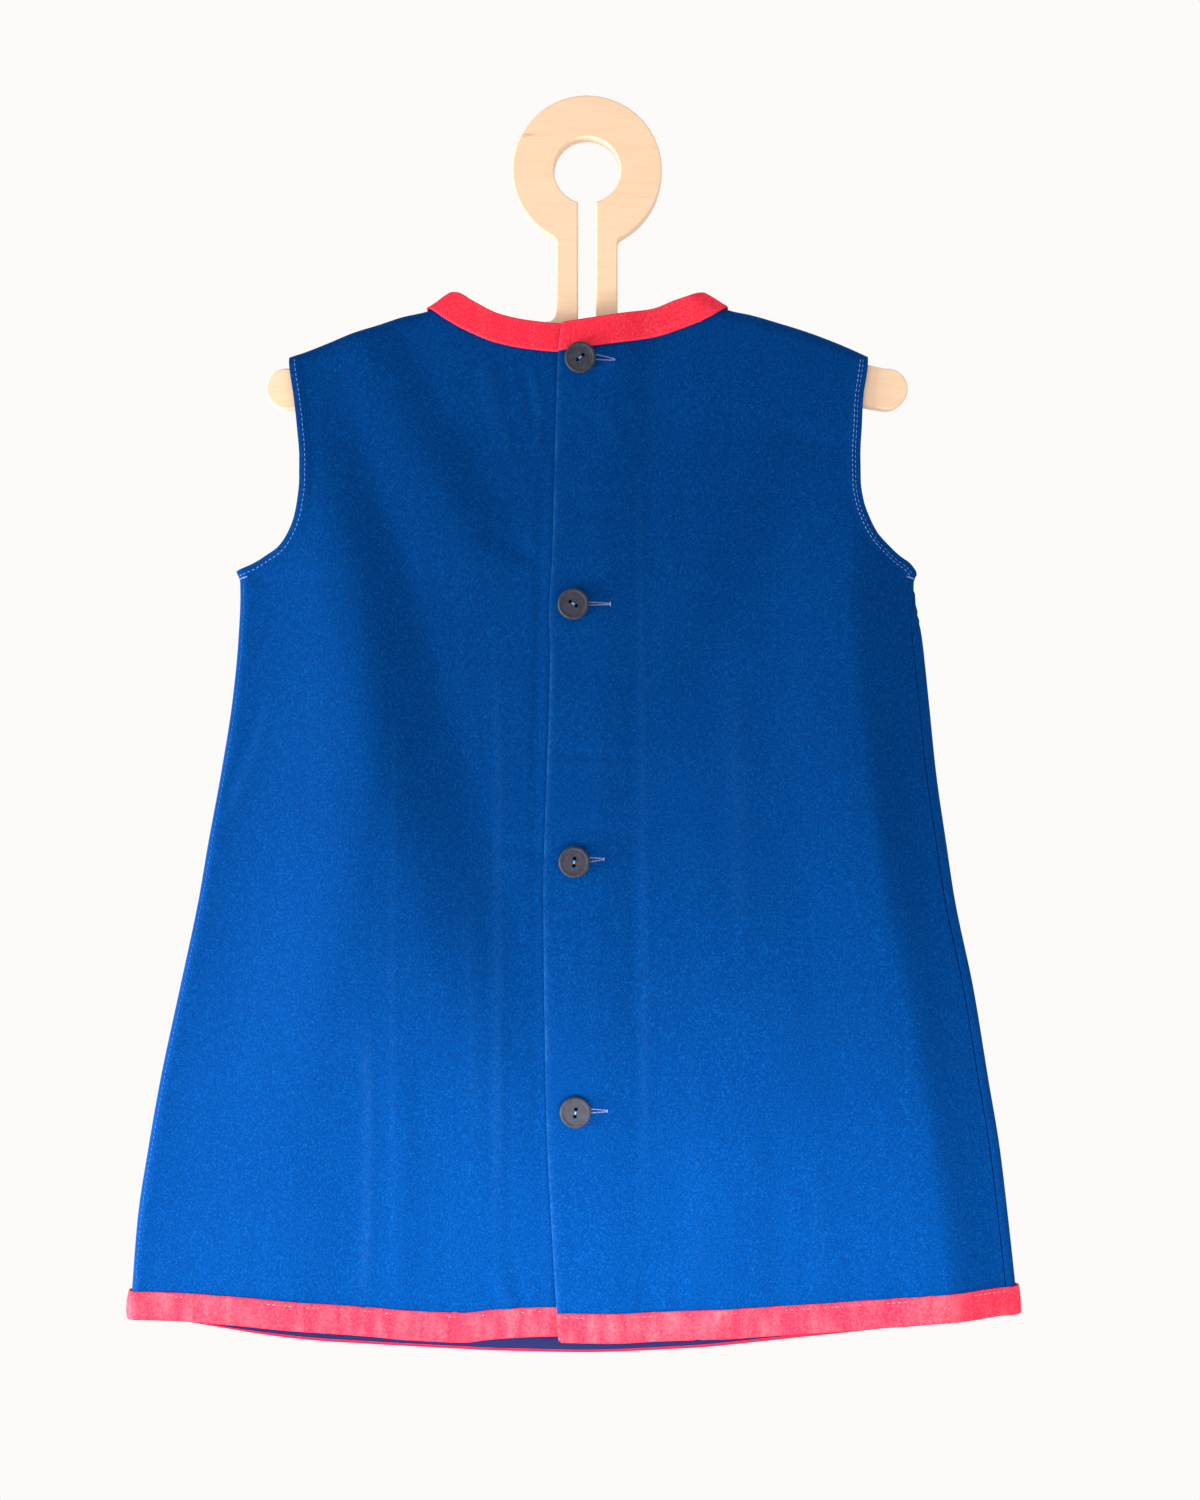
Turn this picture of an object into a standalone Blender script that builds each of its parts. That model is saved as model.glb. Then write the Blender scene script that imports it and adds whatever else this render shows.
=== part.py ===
"""A child's sleeveless A-line dress, buttoned down the back, on a flat wooden hanger.

The origin is the top of the hanger's hole, where the hanger hangs. +Z is up, and
the buttoned back faces -Y. Sizes here are millimetres: "across" is measured to the
right of the dress's centre line, "out" away from it on either side, "drop"
straight down from the origin, and "depth" forwards or backwards from the hanger's
middle plane.
"""

import math
from collections import namedtuple

import bmesh
import bpy
from mathutils import Matrix, Vector

MM = 0.001
CENTRE = -4.7

# Cloth
WALL = 1.2
BAND_WALL = 1.0
SEAM_GAP = 0.3
LAID_GAP = 0.35
BAND_WIDTH = 13.5
BAND_ROLL = 0.6

# How the cloth turns over the hanger and round the sides
RIDGE_ROUND = 6.2
RIDGE_CLEAR = 0.45
RIDGE_CLEAR_FADE = 18.6
SIDE_ROUND = 5.0
REACH = {-1: 82.0, 1: 38.0}
SIDE_WRAP = 5.5
WRAP_GROWTH = 34.0
SEAM_SETBACK = 0.45
ARMHOLE_PEEK = 1.2

# Placket
OVERLAP = 24.0
OVERLAP_GAP = 0.6
OVERLAP_FADE = 26.0
PLACKET_STIFF = 0.35
PLACKET_STIFF_FADE = 18.0
BAND_LIFT = 1.6
BAND_LIFT_FADE = 16.0

# Buttons
BUTTON_RADIUS = 7.8
BUTTON_HOLE_RADIUS = 1.0
BUTTON_HOLE_APART = 3.6
BUTTON_SIDES = 24
BUTTON_HOLE_SIDES = 8
BUTTON_RINGS = 6
BUTTON_CUT = 8.4
BUTTON_GAP = 0.35

# Hanger
PLYWOOD = 9.5
PLY_EDGE = 0.7
HEAD_RADIUS = 37.5
HOLE_RADIUS = 16.5
HEAD_DROP = 16.5
STEM_HALF = 15.3
SLOT_HALF = 4.5
SLOT_END = 97.5
NECK_FILLET = 4.0
ARM_FILLET = 5.0
TIP_RADIUS = 10.3
TIP_OUT = 150.1
TIP_DROP = 125.8
TIP_START = 98.0
TIP_END = -104.0
ARM_POINTS = 8
ARC_SAG = 0.1

Shoulder = namedtuple("Shoulder", "out left right")
SHOULDERS = [
    Shoulder(64.7, 79.3, 79.5),
    Shoulder(75.2, 86.2, 85.5),
    Shoulder(88.0, 89.2, 88.4),
    Shoulder(100.0, 93.2, 91.9),
    Shoulder(112.0, 96.9, 95.6),
    Shoulder(124.0, 101.8, 99.9),
    Shoulder(136.0, 106.6, 104.8),
    Shoulder(144.3, 109.4, 108.6),
]

Armhole = namedtuple("Armhole", "drop left right")
ARMHOLES = [
    Armhole(108.9, 144.3, 145.8),
    Armhole(118.0, 143.3, 144.8),
    Armhole(131.0, 141.3, 142.9),
    Armhole(146.0, 139.6, 142.2),
    Armhole(161.0, 138.4, 141.5),
    Armhole(172.0, 138.4, 141.5),
    Armhole(182.0, 139.4, 142.8),
    Armhole(190.0, 141.0, 145.5),
    Armhole(198.0, 144.2, 149.6),
    Armhole(205.0, 149.2, 156.2),
    Armhole(209.5, 155.8, 161.3),
    Armhole(213.0, 161.6, 166.4),
    Armhole(217.0, 171.3, 169.8),
]

Side = namedtuple("Side", "drop left right")
SIDES = [
    Side(217.0, 171.3, 171.0),
    Side(222.0, 169.4, 168.8),
    Side(229.0, 169.3, 169.7),
    Side(251.0, 170.3, 173.0),
    Side(281.0, 173.2, 176.2),
    Side(318.0, 179.0, 180.0),
    Side(354.0, 185.6, 185.2),
    Side(381.0, 190.2, 189.3),
    Side(426.0, 199.7, 198.7),
    Side(471.0, 209.3, 206.1),
    Side(506.0, 215.5, 211.9),
    Side(541.0, 220.8, 216.1),
    Side(590.0, 224.6, 221.4),
]

Hem = namedtuple("Hem", "across back_left back_right front")
HEMS = [
    Hem(-224.6, 590.4, 590.4, 590.4),
    Hem(-198.8, 590.2, 590.2, 594.0),
    Hem(-172.3, 590.8, 590.8, 598.4),
    Hem(-139.3, 592.9, 592.9, 603.2),
    Hem(-106.3, 595.4, 595.4, 605.5),
    Hem(-72.8, 598.0, 598.0, 607.3),
    Hem(-56.3, 598.6, 598.6, 608.2),
    Hem(-39.8, 596.8, 598.7, 608.9),
    Hem(-10.0, 595.5, 597.8, 609.4),
    Hem(24.2, 595.4, 598.3, 609.0),
    Hem(65.7, 594.6, 597.0, 607.1),
    Hem(90.7, 593.6, 595.8, 604.9),
    Hem(123.7, 592.6, 593.6, 601.1),
    Hem(157.2, 590.7, 591.1, 597.5),
    Hem(190.2, 587.9, 588.3, 593.9),
    Hem(212.0, 587.8, 587.8, 587.8),
    Hem(221.4, 587.7, 587.7, 587.7),
]

# The neckline's fold, and the foot of its band, from the placket or the front's
# middle out to the shoulder
Neck = namedtuple("Neck", "out drop foot_out foot_drop")
NECK_LEFT = [
    Neck(-14.0, 94.9, -14.0, 108.4),
    Neck(8.0, 94.3, 9.0, 107.8),
    Neck(25.8, 92.5, 25.8, 106.2),
    Neck(39.3, 89.4, 40.6, 103.2),
    Neck(52.0, 83.2, 56.6, 96.6),
    Neck(59.2, 79.4, 67.0, 90.7),
    Neck(63.4, 79.0, 73.3, 86.6),
    Neck(64.7, 79.3, 75.2, 86.2),
]
NECK_RIGHT = [
    Neck(-8.0, 94.2, -9.6, 107.7),
    Neck(7.7, 91.8, 8.7, 105.3),
    Neck(23.7, 89.3, 24.4, 103.0),
    Neck(37.5, 87.0, 39.5, 100.2),
    Neck(49.0, 82.6, 53.6, 95.6),
    Neck(58.0, 79.9, 65.0, 90.8),
    Neck(63.4, 79.2, 73.0, 86.4),
    Neck(64.7, 79.5, 75.2, 85.5),
]
NECK_FRONT = [
    Neck(0.0, 132.5, 0.0, 146.0),
    Neck(17.0, 129.8, 20.4, 142.9),
    Neck(33.0, 122.4, 40.6, 133.6),
    Neck(47.0, 111.0, 57.6, 119.4),
    Neck(57.0, 98.0, 69.4, 103.2),
    Neck(62.5, 87.5, 74.9, 91.4),
    Neck(64.7, 79.4, 75.2, 85.9),
]

Placket = namedtuple("Placket", "drop across")
PLACKET = [
    Placket(94.2, -8.0),
    Placket(107.7, -9.6),
    Placket(146.0, -10.9),
    Placket(211.0, -12.5),
    Placket(239.0, -14.0),
    Placket(256.0, -13.5),
    Placket(346.0, -16.1),
    Placket(371.0, -16.8),
    Placket(486.0, -15.4),
    Placket(551.0, -12.3),
    Placket(602.5, -9.0),
]

# Depth of each panel at its middle, and where its edge starts to turn
Section = namedtuple("Section", "drop back front edge")
SECTIONS = [
    Section(78.0, 6.3, 6.3, 6.2),
    Section(140.0, 6.8, 6.7, 6.3),
    Section(170.0, 8.6, 7.4, 6.0),
    Section(220.0, 11.6, 8.2, 5.0),
    Section(350.0, 13.6, 8.8, 4.4),
    Section(480.0, 14.2, 9.2, 4.4),
    Section(615.0, 14.8, 9.6, 4.6),
]

# Broad folds, each a soft ridge or trough along a line; rise is outwards
Fold = namedtuple("Fold", "across drop to_across to_drop half_width rise")
BACK_FOLDS = [
    Fold(-88.0, 190.0, -60.0, 292.0, 42.0, -3.4),
    Fold(-60.0, 292.0, -30.0, 436.0, 36.0, -4.4),
    Fold(-132.0, 262.0, -96.0, 412.0, 34.0, 2.2),
    Fold(-96.0, 412.0, -86.0, 560.0, 38.0, 1.6),
    Fold(-30.0, 436.0, -26.0, 560.0, 24.0, -1.8),
    Fold(60.0, 170.0, 92.0, 300.0, 40.0, -2.2),
    Fold(92.0, 300.0, 80.0, 420.0, 44.0, -1.4),
    Fold(128.0, 420.0, 168.0, 560.0, 26.0, 1.6),
    Fold(58.0, 470.0, 66.0, 602.0, 30.0, 1.4),
]
FRONT_FOLDS = [
    Fold(-70.0, 210.0, -96.0, 470.0, 40.0, 1.8),
    Fold(-18.0, 190.0, -30.0, 380.0, 36.0, -2.0),
    Fold(64.0, 230.0, 92.0, 590.0, 42.0, 2.0),
    Fold(20.0, 400.0, 8.0, 600.0, 34.0, -1.8),
    Fold(-150.0, 420.0, -168.0, 590.0, 28.0, -1.2),
]

Button = namedtuple("Button", "across drop turn")
BUTTONS = [
    Button(1.3, 111.0, 40.0),
    Button(-2.0, 234.1, -35.0),
    Button(-1.5, 361.6, 85.0),
    Button(-0.9, 485.2, 82.0),
]

# A button's section, from its middle over the dished top and rim to the underside
Turned = namedtuple("Turned", "out up")
BUTTON_SECTION = [
    Turned(0.0, 2.5),
    Turned(5.9, 2.5),
    Turned(6.6, 2.8),
    Turned(7.1, 2.8),
    Turned(7.8, 2.0),
    Turned(7.8, 0.8),
    Turned(6.6, 0.0),
    Turned(0.0, 0.0),
]

Arm = namedtuple("Arm", "out drop")
ARM_TOP = [
    Arm(20.3, 92.2),
    Arm(50.0, 94.8),
    Arm(90.0, 101.4),
    Arm(125.0, 110.3),
    Arm(143.0, 114.3),
]
ARM_FOOT = [
    Arm(0.0, 115.0),
    Arm(40.0, 117.2),
    Arm(90.0, 124.4),
    Arm(125.0, 131.8),
]

# Rows down a panel and insets from its edges
TOP_INSETS = (0.0, 0.8, 2.4, 5.2, 10.0)
UNDERARM_INSETS = (4.0, 11.0)
EDGE_INSETS = (0.0, 0.7, 2.2, 5.0)
WRAP_INSETS = (0.0, 2.7, 4.6, 5.5, 6.4, 8.2, 11.0)
PLACKET_INSETS = (0.0, 12.0, 24.0, 36.0)
SEAM_INSETS = (0.0, 4.0)
CORNER_INSETS = (0.0, 0.5, 1.6, 3.4, 6.0, 10.0, 16.0)
PANEL_HEIGHT = 495.0
SHOULDER_COLUMNS = 6
SHOULDER_CROWDING = 1.13
BACK_NECK_COLUMNS = 4
FRONT_NECK_COLUMNS = 6
NECK_CROWDING = 0.7
BESIDE_CORNER = (0.7, 0.35)
ARMHOLE_ROWS = 9
ARMHOLE_CROWDING = 1.35
SKIRT_ROWS = 15
BAND_SPACING = 12.0
BAND_ROWS = 2
UNDERARM = 0.24
SHAPE_FADE = 2.5
STEP = 1e-4
WELD = 0.01
SHARP = 38.0

# Colours under plain light, and how matte each is
Look = namedtuple("Look", "colour roughness")
NAVY = Look((0.010, 0.060, 0.250), 0.75)
RED = Look((0.800, 0.030, 0.060), 0.70)
BLACK = Look((0.020, 0.020, 0.024), 0.45)
BIRCH = Look((0.850, 0.640, 0.400), 0.50)


def through(rows, key, value):
    """A smooth function through one column of a table, straight past its ends."""
    keys = [getattr(row, key) for row in rows]
    values = [getattr(row, value) for row in rows]
    runs = [b - a for a, b in zip(keys, keys[1:])]
    steps = [(b - a) / run for a, b, run in zip(values, values[1:], runs)]
    slopes = [steps[0]]
    for before, after in zip(steps, steps[1:]):
        level = before * after <= 0.0
        slopes.append(0.0 if level else 2.0 * before * after / (before + after))
    slopes.append(steps[-1])

    def at(place):
        if place <= keys[0]:
            return values[0] + slopes[0] * (place - keys[0])
        if place >= keys[-1]:
            return values[-1] + slopes[-1] * (place - keys[-1])
        i = max(n for n, start in enumerate(keys) if start <= place)
        t = (place - keys[i]) / runs[i]
        rise = t * t * (3.0 - 2.0 * t)
        lean = t * (1.0 - t) * runs[i]
        return (values[i] * (1.0 - rise) + values[i + 1] * rise
                + lean * ((1.0 - t) * slopes[i] - t * slopes[i + 1]))

    return at


def ease(t):
    """0 to 1 with level ends."""
    t = min(max(t, 0.0), 1.0)
    return t * t * (3.0 - 2.0 * t)


def turn(t):
    """A quarter round: 0 at the edge, 1 where it has turned."""
    t = min(max(t, 0.0), 1.0)
    return math.sqrt(1.0 - (1.0 - t) ** 2)


def mix(a, b, t):
    return a + (b - a) * t


SIDE_NAME = {-1: "left", 1: "right"}
ridge_at = {side: through(SHOULDERS, "out", name) for side, name in SIDE_NAME.items()}
armhole_at = {side: through(ARMHOLES, "drop", name) for side, name in SIDE_NAME.items()}
seam_at = {side: through(SIDES, "drop", name) for side, name in SIDE_NAME.items()}
hem_at = {name: through(HEMS, "across", name) for name in ("back_left", "back_right", "front")}
placket_at = through(PLACKET, "drop", "across")
section_at = {name: through(SECTIONS, "drop", name) for name in ("back", "front", "edge")}
TIP_ROW = ARMHOLES[-1].drop


def edge_at(side, drop):
    """How far out the dress's side lies; level above the underarm."""
    return seam_at[side](max(drop, TIP_ROW))


def side_wrap(drop):
    """How far the front panel comes round the right side onto the back."""
    return SIDE_WRAP * ease((drop - TIP_ROW) / WRAP_GROWTH)


def fold_rise(folds, across, drop):
    """The height that the broad folds add at a place."""
    rise = 0.0
    for fold in folds:
        along = Vector((fold.to_across - fold.across, fold.to_drop - fold.drop))
        here = Vector((across - fold.across, drop - fold.drop))
        t = min(max(here.dot(along) / along.length_squared, 0.0), 1.0)
        away = (here - along * t).length / fold.half_width
        if away < 1.0:
            rise += fold.rise * (1.0 - away * away) ** 2
    return rise


def cloth_depth(face, across, drop):
    """Depth of a face's outer surface, closing at the shoulder ridge and the sides."""
    side = -1 if across < 0.0 else 1
    out = abs(across)
    inset = edge_at(side, drop) - out
    over_ridge = turn((drop - ridge_at[side](out)) / RIDGE_ROUND)
    round_side = turn(inset / SIDE_ROUND)
    edge = section_at["edge"](drop)
    full = section_at[face](drop) - edge
    if face == "back":
        full += fold_rise(BACK_FOLDS, across, drop) * placket_give(across, drop)
    else:
        full += fold_rise(FRONT_FOLDS, across, drop)
    return (edge + full * ease(inset / REACH[side])) * over_ridge * round_side


def placket_give(across, drop):
    """How freely the cloth folds: less where the two halves lie on each other."""
    middle = placket_at(drop) + OVERLAP / 2.0
    away = (abs(across - middle) - OVERLAP / 2.0) / PLACKET_STIFF_FADE
    return mix(PLACKET_STIFF, 1.0, ease(away))


def overlap_lift(across, drop):
    """How far the right half stands off where it lies over the left one."""
    under_edge = placket_at(drop) + OVERLAP
    fade = 1.0 - ease((across - under_edge) / OVERLAP_FADE)
    neck = 1.0 - ease((drop - NECK_RIGHT[0].foot_drop) / BAND_LIFT_FADE)
    hem = 1.0 - ease((hem_at["back_left"](across) - BAND_WIDTH - drop) / BAND_LIFT_FADE)
    return fade * (OVERLAP_GAP + WALL + BAND_LIFT * max(neck, hem))


def depth_left(across, drop):
    return cloth_depth("back", across, drop)


def depth_right(across, drop):
    return cloth_depth("back", across, drop) + overlap_lift(across, drop)


def depth_front(across, drop):
    return cloth_depth("front", across, drop)


class Face:
    """One side of the dress: its depth at a place, and which way it faces."""

    def __init__(self, depth, facing):
        self.depth = depth
        self.facing = facing

    def normal(self, across, drop):
        """The outward direction, with slopes taken towards the face's middle."""
        inward = 1.0 if across < 0.0 else -1.0
        here = self.depth(across, drop)
        slope_across = (self.depth(across + inward * STEP, drop) - here) / (inward * STEP)
        slope_drop = (self.depth(across, drop + STEP) - here) / STEP
        return Vector((-slope_across, self.facing, slope_drop)).normalized()

    def point(self, across, drop, proud=0.0):
        """A place on the face, no higher than the ridge, moved out along its normal."""
        drop = max(drop, ridge_at[-1 if across < 0.0 else 1](abs(across)) + STEP)
        depth = max(self.depth(across, drop), SEAM_GAP / 2.0)
        at = Vector((CENTRE + across, self.facing * depth, -drop))
        at += self.normal(across, drop) * proud
        if self.facing * at.y < SEAM_GAP / 2.0:
            at.y = self.facing * SEAM_GAP / 2.0
        return at


LEFT = Face(depth_left, -1.0)
RIGHT = Face(depth_right, -1.0)
FRONT = Face(depth_front, 1.0)


def neck_curve(rows, side):
    """A neckline by its length: the fold's place and the place of the band's foot."""
    Mark = namedtuple("Mark", "run out drop foot_out foot_drop")
    marks = [Mark(0.0, *rows[0])]
    for before, row in zip(rows, rows[1:]):
        step = math.hypot(row.out - before.out, row.drop - before.drop)
        marks.append(Mark(marks[-1].run + step, *row))
    out, drop, foot_out, foot_drop = (
        through(marks, "run", key) for key in ("out", "drop", "foot_out", "foot_drop"))

    def at(run):
        return (side * out(run), drop(run)), (side * foot_out(run), foot_drop(run))

    return at, marks[-1].run


def top_edge(neck, side, corner):
    """A half panel's top: the neckline as far as the corner's share, then the shoulder."""
    neckline, length = neck_curve(neck, side)
    start, end = SHOULDERS[0].out, SHOULDERS[-1].out

    def at(t):
        if t <= corner:
            s = t / corner
            return neckline(length * (s + NECK_CROWDING * s ** 3 * (1.0 - s)))[0]
        out = mix(start, end, ((t - corner) / (1.0 - corner)) ** SHOULDER_CROWDING)
        return side * out, ridge_at[side](out)

    return at


def outer_edge(side, peek=0.0, wrap=0.0):
    """A panel's armhole, then its side seam, from the shoulder down."""
    top = ARMHOLES[0].drop
    hem = HEMS[0].back_left if side < 0 else HEMS[-1].back_right

    def at(v):
        if v <= UNDERARM:
            t = v / UNDERARM
            drop = mix(top, TIP_ROW, 1.0 - (1.0 - t) ** ARMHOLE_CROWDING)
            out = armhole_at[side](drop) + peek * math.sin(math.pi * t * t)
        else:
            drop = mix(TIP_ROW, hem, (v - UNDERARM) / (1.0 - UNDERARM))
            out = seam_at[side](drop)
        return side * (out - wrap * side_wrap(drop)), drop

    return at


def placket_edge(name, first_drop, across):
    """A half's edge at the placket, moved across from the visible one."""
    last = PLACKET[-1].across + across
    return lambda v: on_placket(mix(first_drop, hem_at[name](last), v), across)


def on_placket(drop, across):
    return placket_at(drop) + across, drop


def hem_edge(name, start, end):
    return lambda t: (mix(start, end, t), hem_at[name](mix(start, end, t)))


def rows_down():
    """Shares down a panel: close at the shoulder, underarm and hem, even between."""
    rows = [inset / PANEL_HEIGHT for inset in TOP_INSETS]
    start = rows[-1]
    rows += [mix(start, UNDERARM, (i + 1) / ARMHOLE_ROWS) for i in range(ARMHOLE_ROWS)]
    rows += [UNDERARM + inset / PANEL_HEIGHT for inset in UNDERARM_INSETS]
    start = rows[-1]
    band = 1.0 - BAND_WIDTH / PANEL_HEIGHT
    rows += [mix(start, band, (i + 1) / SKIRT_ROWS) for i in range(SKIRT_ROWS)]
    return rows + [1.0]


class Panel:
    """A cloth panel between four edges, with columns inset from its two sides."""

    def __init__(self, name, face, count, left, right, extra, wrap=None):
        self.name = name
        self.face = face
        self.count = count
        self.left = left
        self.right = right
        self.wrap = wrap
        self.columns = [("left", inset) for inset in left[:-1]]
        self.columns += [("even", i / count) for i in sorted([*range(count + 1), *extra])]
        self.columns += [("right", inset) for inset in reversed(right[:-1])]

    def edges(self, first, last, hem):
        self.first = first
        self.last = last
        self.hem = hem

    def share(self, column, width):
        """A column's share of a row that is so wide."""
        kind, value = self.columns[column]
        if kind == "left":
            return value / width
        if kind == "right":
            return 1.0 - value / width
        return mix(self.left[-1] / width, 1.0 - self.right[-1] / width, value)

    def row_width(self, v):
        """The row's width, with what wraps round the side unrolled."""
        width = abs(self.last(v)[0] - self.first(v)[0])
        return width + (side_wrap(self.last(v)[1]) if self.wrap else 0.0)

    def corner(self, even):
        """The top row's share at an even column, where the neckline ends."""
        width = self.row_width(0.0)
        return mix(self.left[-1] / width, 1.0 - self.right[-1] / width, even / self.count)

    def spot(self, u, v):
        """A place inside the four edges."""
        (a0, d0), (a1, d1) = self.first(v), self.last(v)
        place = [mix(a0, a1, u), mix(d0, d1, u)]
        for edge, weight in ((self.top, (1.0 - v) ** SHAPE_FADE), (self.hem, v ** SHAPE_FADE)):
            start, end, here = edge(0.0), edge(1.0), edge(u)
            for i in (0, 1):
                place[i] += weight * (here[i] - mix(start[i], end[i], u))
        return place

    def place(self, column, v, proud=0.0, lower=0.0):
        """A point of a column, moved out from the cloth and down past it."""
        width = self.row_width(v)
        run = self.share(column, width) * width
        flat = abs(self.last(v)[0] - self.first(v)[0])
        face, u = self.face, run / flat
        if run > flat:
            face, u = self.wrap, 2.0 - run / flat
        across, drop = self.spot(u, v)
        at = face.point(across, drop, proud)
        at.z -= lower
        return at

    def wall(self):
        rows = rows_down()

        def place(column, row, layer):
            return self.place(column, rows[row], -WALL * layer)

        return lattice(self.name, len(self.columns), len(rows), place, NAVY)


def lattice(name, columns, rows, place, look):
    """A wall on a lattice: place(column, row, layer) gives each corner, layer 0 outside."""
    mesh = bpy.data.meshes.new(name)
    form = bmesh.new()
    across, down = columns - 1, rows - 1
    bmesh.ops.create_grid(form, x_segments=across, y_segments=down, size=0.5)
    bmesh.ops.scale(form, vec=(across, down, 1.0), verts=form.verts)
    bmesh.ops.translate(form, vec=(across / 2.0, down / 2.0, 0.0), verts=form.verts)
    grown = bmesh.ops.extrude_face_region(form, geom=form.faces[:])["geom"]
    lifted = [item for item in grown if isinstance(item, bmesh.types.BMVert)]
    bmesh.ops.translate(form, vec=(0.0, 0.0, 1.0), verts=lifted)
    bmesh.ops.recalc_face_normals(form, faces=form.faces)
    for vert in form.verts:
        column, row, layer = (round(value) for value in vert.co)
        vert.co = place(column, row, layer) * MM
    if form.calc_volume(signed=True) < 0.0:
        bmesh.ops.reverse_faces(form, faces=form.faces)
    form.to_mesh(mesh)
    form.free()
    smooth(mesh)
    return finish(name, mesh, look)


def smooth(mesh):
    """Smooth shading but for the sharp edges."""
    mesh.shade_smooth()
    mesh.set_sharp_from_angle(angle=math.radians(SHARP))


def material(name, look):
    made = bpy.data.materials.new(name)
    made.use_nodes = True
    shader = made.node_tree.nodes["Principled BSDF"]
    shader.inputs["Base Color"].default_value = (*look.colour, 1.0)
    shader.inputs["Roughness"].default_value = look.roughness
    shader.inputs["Metallic"].default_value = 0.0
    return made


def finish(name, data, look):
    """An object of its own in the dress's collection, with its material."""
    thing = bpy.data.objects.new(name, data)
    dress.objects.link(thing)
    data.materials.append(material(name, look))
    return thing


def back_left_panel():
    """The half that carries the buttons; its edge runs on under the other half."""
    count = BACK_NECK_COLUMNS + SHOULDER_COLUMNS
    beside = [BACK_NECK_COLUMNS - step for step in BESIDE_CORNER]
    panel = Panel("back_left", LEFT, count, PLACKET_INSETS, EDGE_INSETS, beside)
    first = placket_edge("back_left", NECK_LEFT[0].drop, OVERLAP)
    panel.edges(first, outer_edge(-1), hem_edge("back_left", first(1.0)[0], HEMS[0].across))
    panel.top = top_edge(NECK_LEFT, -1, panel.corner(BACK_NECK_COLUMNS))
    return panel


def back_right_panel():
    """The half with the buttonholes, on top at the placket."""
    count = BACK_NECK_COLUMNS + SHOULDER_COLUMNS
    beside = [BACK_NECK_COLUMNS - step for step in BESIDE_CORNER]
    panel = Panel("back_right", RIGHT, count, PLACKET_INSETS, SEAM_INSETS, beside)
    first = placket_edge("back_right", NECK_RIGHT[0].drop, 0.0)
    edge = outer_edge(1, wrap=1.0)

    def last(v):
        across, drop = edge(v)
        return across - SEAM_SETBACK, drop

    panel.edges(first, last, hem_edge("back_right", first(1.0)[0], last(1.0)[0]))
    panel.top = top_edge(NECK_RIGHT, 1, panel.corner(BACK_NECK_COLUMNS))
    return panel


def front_panel():
    """The whole front, which comes round the right side to its seam on the back."""
    count = 2 * (FRONT_NECK_COLUMNS + SHOULDER_COLUMNS)
    beside = [SHOULDER_COLUMNS + step for step in BESIDE_CORNER]
    beside += [count - column for column in beside]
    panel = Panel("front", FRONT, count, EDGE_INSETS, WRAP_INSETS, beside, wrap=RIGHT)
    first, last = outer_edge(-1, ARMHOLE_PEEK), outer_edge(1, ARMHOLE_PEEK)
    panel.edges(first, last, hem_edge("front", HEMS[0].across, HEMS[-1].across))
    left_corner = panel.corner(SHOULDER_COLUMNS)
    right_corner = panel.corner(count - SHOULDER_COLUMNS)
    middle = (left_corner + right_corner) / 2.0
    left = top_edge(NECK_FRONT, -1, (middle - left_corner) / middle)
    right = top_edge(NECK_FRONT, 1, (right_corner - middle) / (1.0 - middle))

    def top(t):
        if t < middle:
            return left(1.0 - t / middle)
        return right((t - middle) / (1.0 - middle))

    panel.top = top
    return panel


def neck_band():
    """The band along the whole neckline, from under the placket round to its edge."""
    stretches = (
        (LEFT, NECK_LEFT, -1, False),
        (FRONT, NECK_FRONT, -1, True),
        (FRONT, NECK_FRONT, 1, False),
        (RIGHT, NECK_RIGHT, 1, True),
    )
    path = []
    for face, rows, side, from_corner in stretches:
        curve, length = neck_curve(rows, side)
        runs = [length - inset for inset in CORNER_INSETS]
        even = math.ceil(runs[-1] / BAND_SPACING)
        runs += [runs[-1] * (1.0 - (i + 1) / even) for i in range(even)]
        if not from_corner:
            runs.reverse()
        spots = [(face, *curve(run)) for run in runs]
        path += spots[1:] if path else spots

    def place(column, row, layer):
        face, (across, drop), (foot_across, foot_drop) = path[column]
        t = row / BAND_ROWS
        roll = (1.0 - t) * BAND_ROLL / BAND_WIDTH
        here = mix(across, foot_across, t - roll), mix(drop, foot_drop, t - roll)
        side = -1 if here[0] < 0.0 else 1
        below = here[1] - ridge_at[side](abs(here[0]))
        gap = LAID_GAP + RIDGE_CLEAR * (1.0 - ease(below / RIDGE_CLEAR_FADE))
        return face.point(*here, gap + BAND_WALL * (1 - layer))

    return lattice("neck_band", len(path), BAND_ROWS + 1, place, RED)


def hem_band(left, front, right):
    """The band round the whole hem, from under the placket round to its edge."""
    path = [(left, column) for column in range(len(left.columns))]
    path += [(front, column) for column in range(1, len(front.columns))]
    path += [(right, column) for column in reversed(range(len(right.columns) - 1))]
    top = 1.0 - BAND_WIDTH / PANEL_HEIGHT

    def place(column, row, layer):
        panel, mark = path[column]
        v = top if row else 1.0
        proud = LAID_GAP + BAND_WALL * (1 - layer)
        return panel.place(mark, v, proud, 0.0 if row else BAND_ROLL)

    return lattice("hem_band", len(path), 2, place, RED)


def laid_on_back(across, drop):
    """The outermost surface at the placket: the right half, or the band on it."""
    curve = neck_curve(NECK_RIGHT, 1)[0]
    foot = curve(max(across - NECK_RIGHT[0].out, 0.0))[1][1]
    return RIGHT.point(across, drop, LAID_GAP + BAND_WALL if drop < foot else 0.0)


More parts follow.
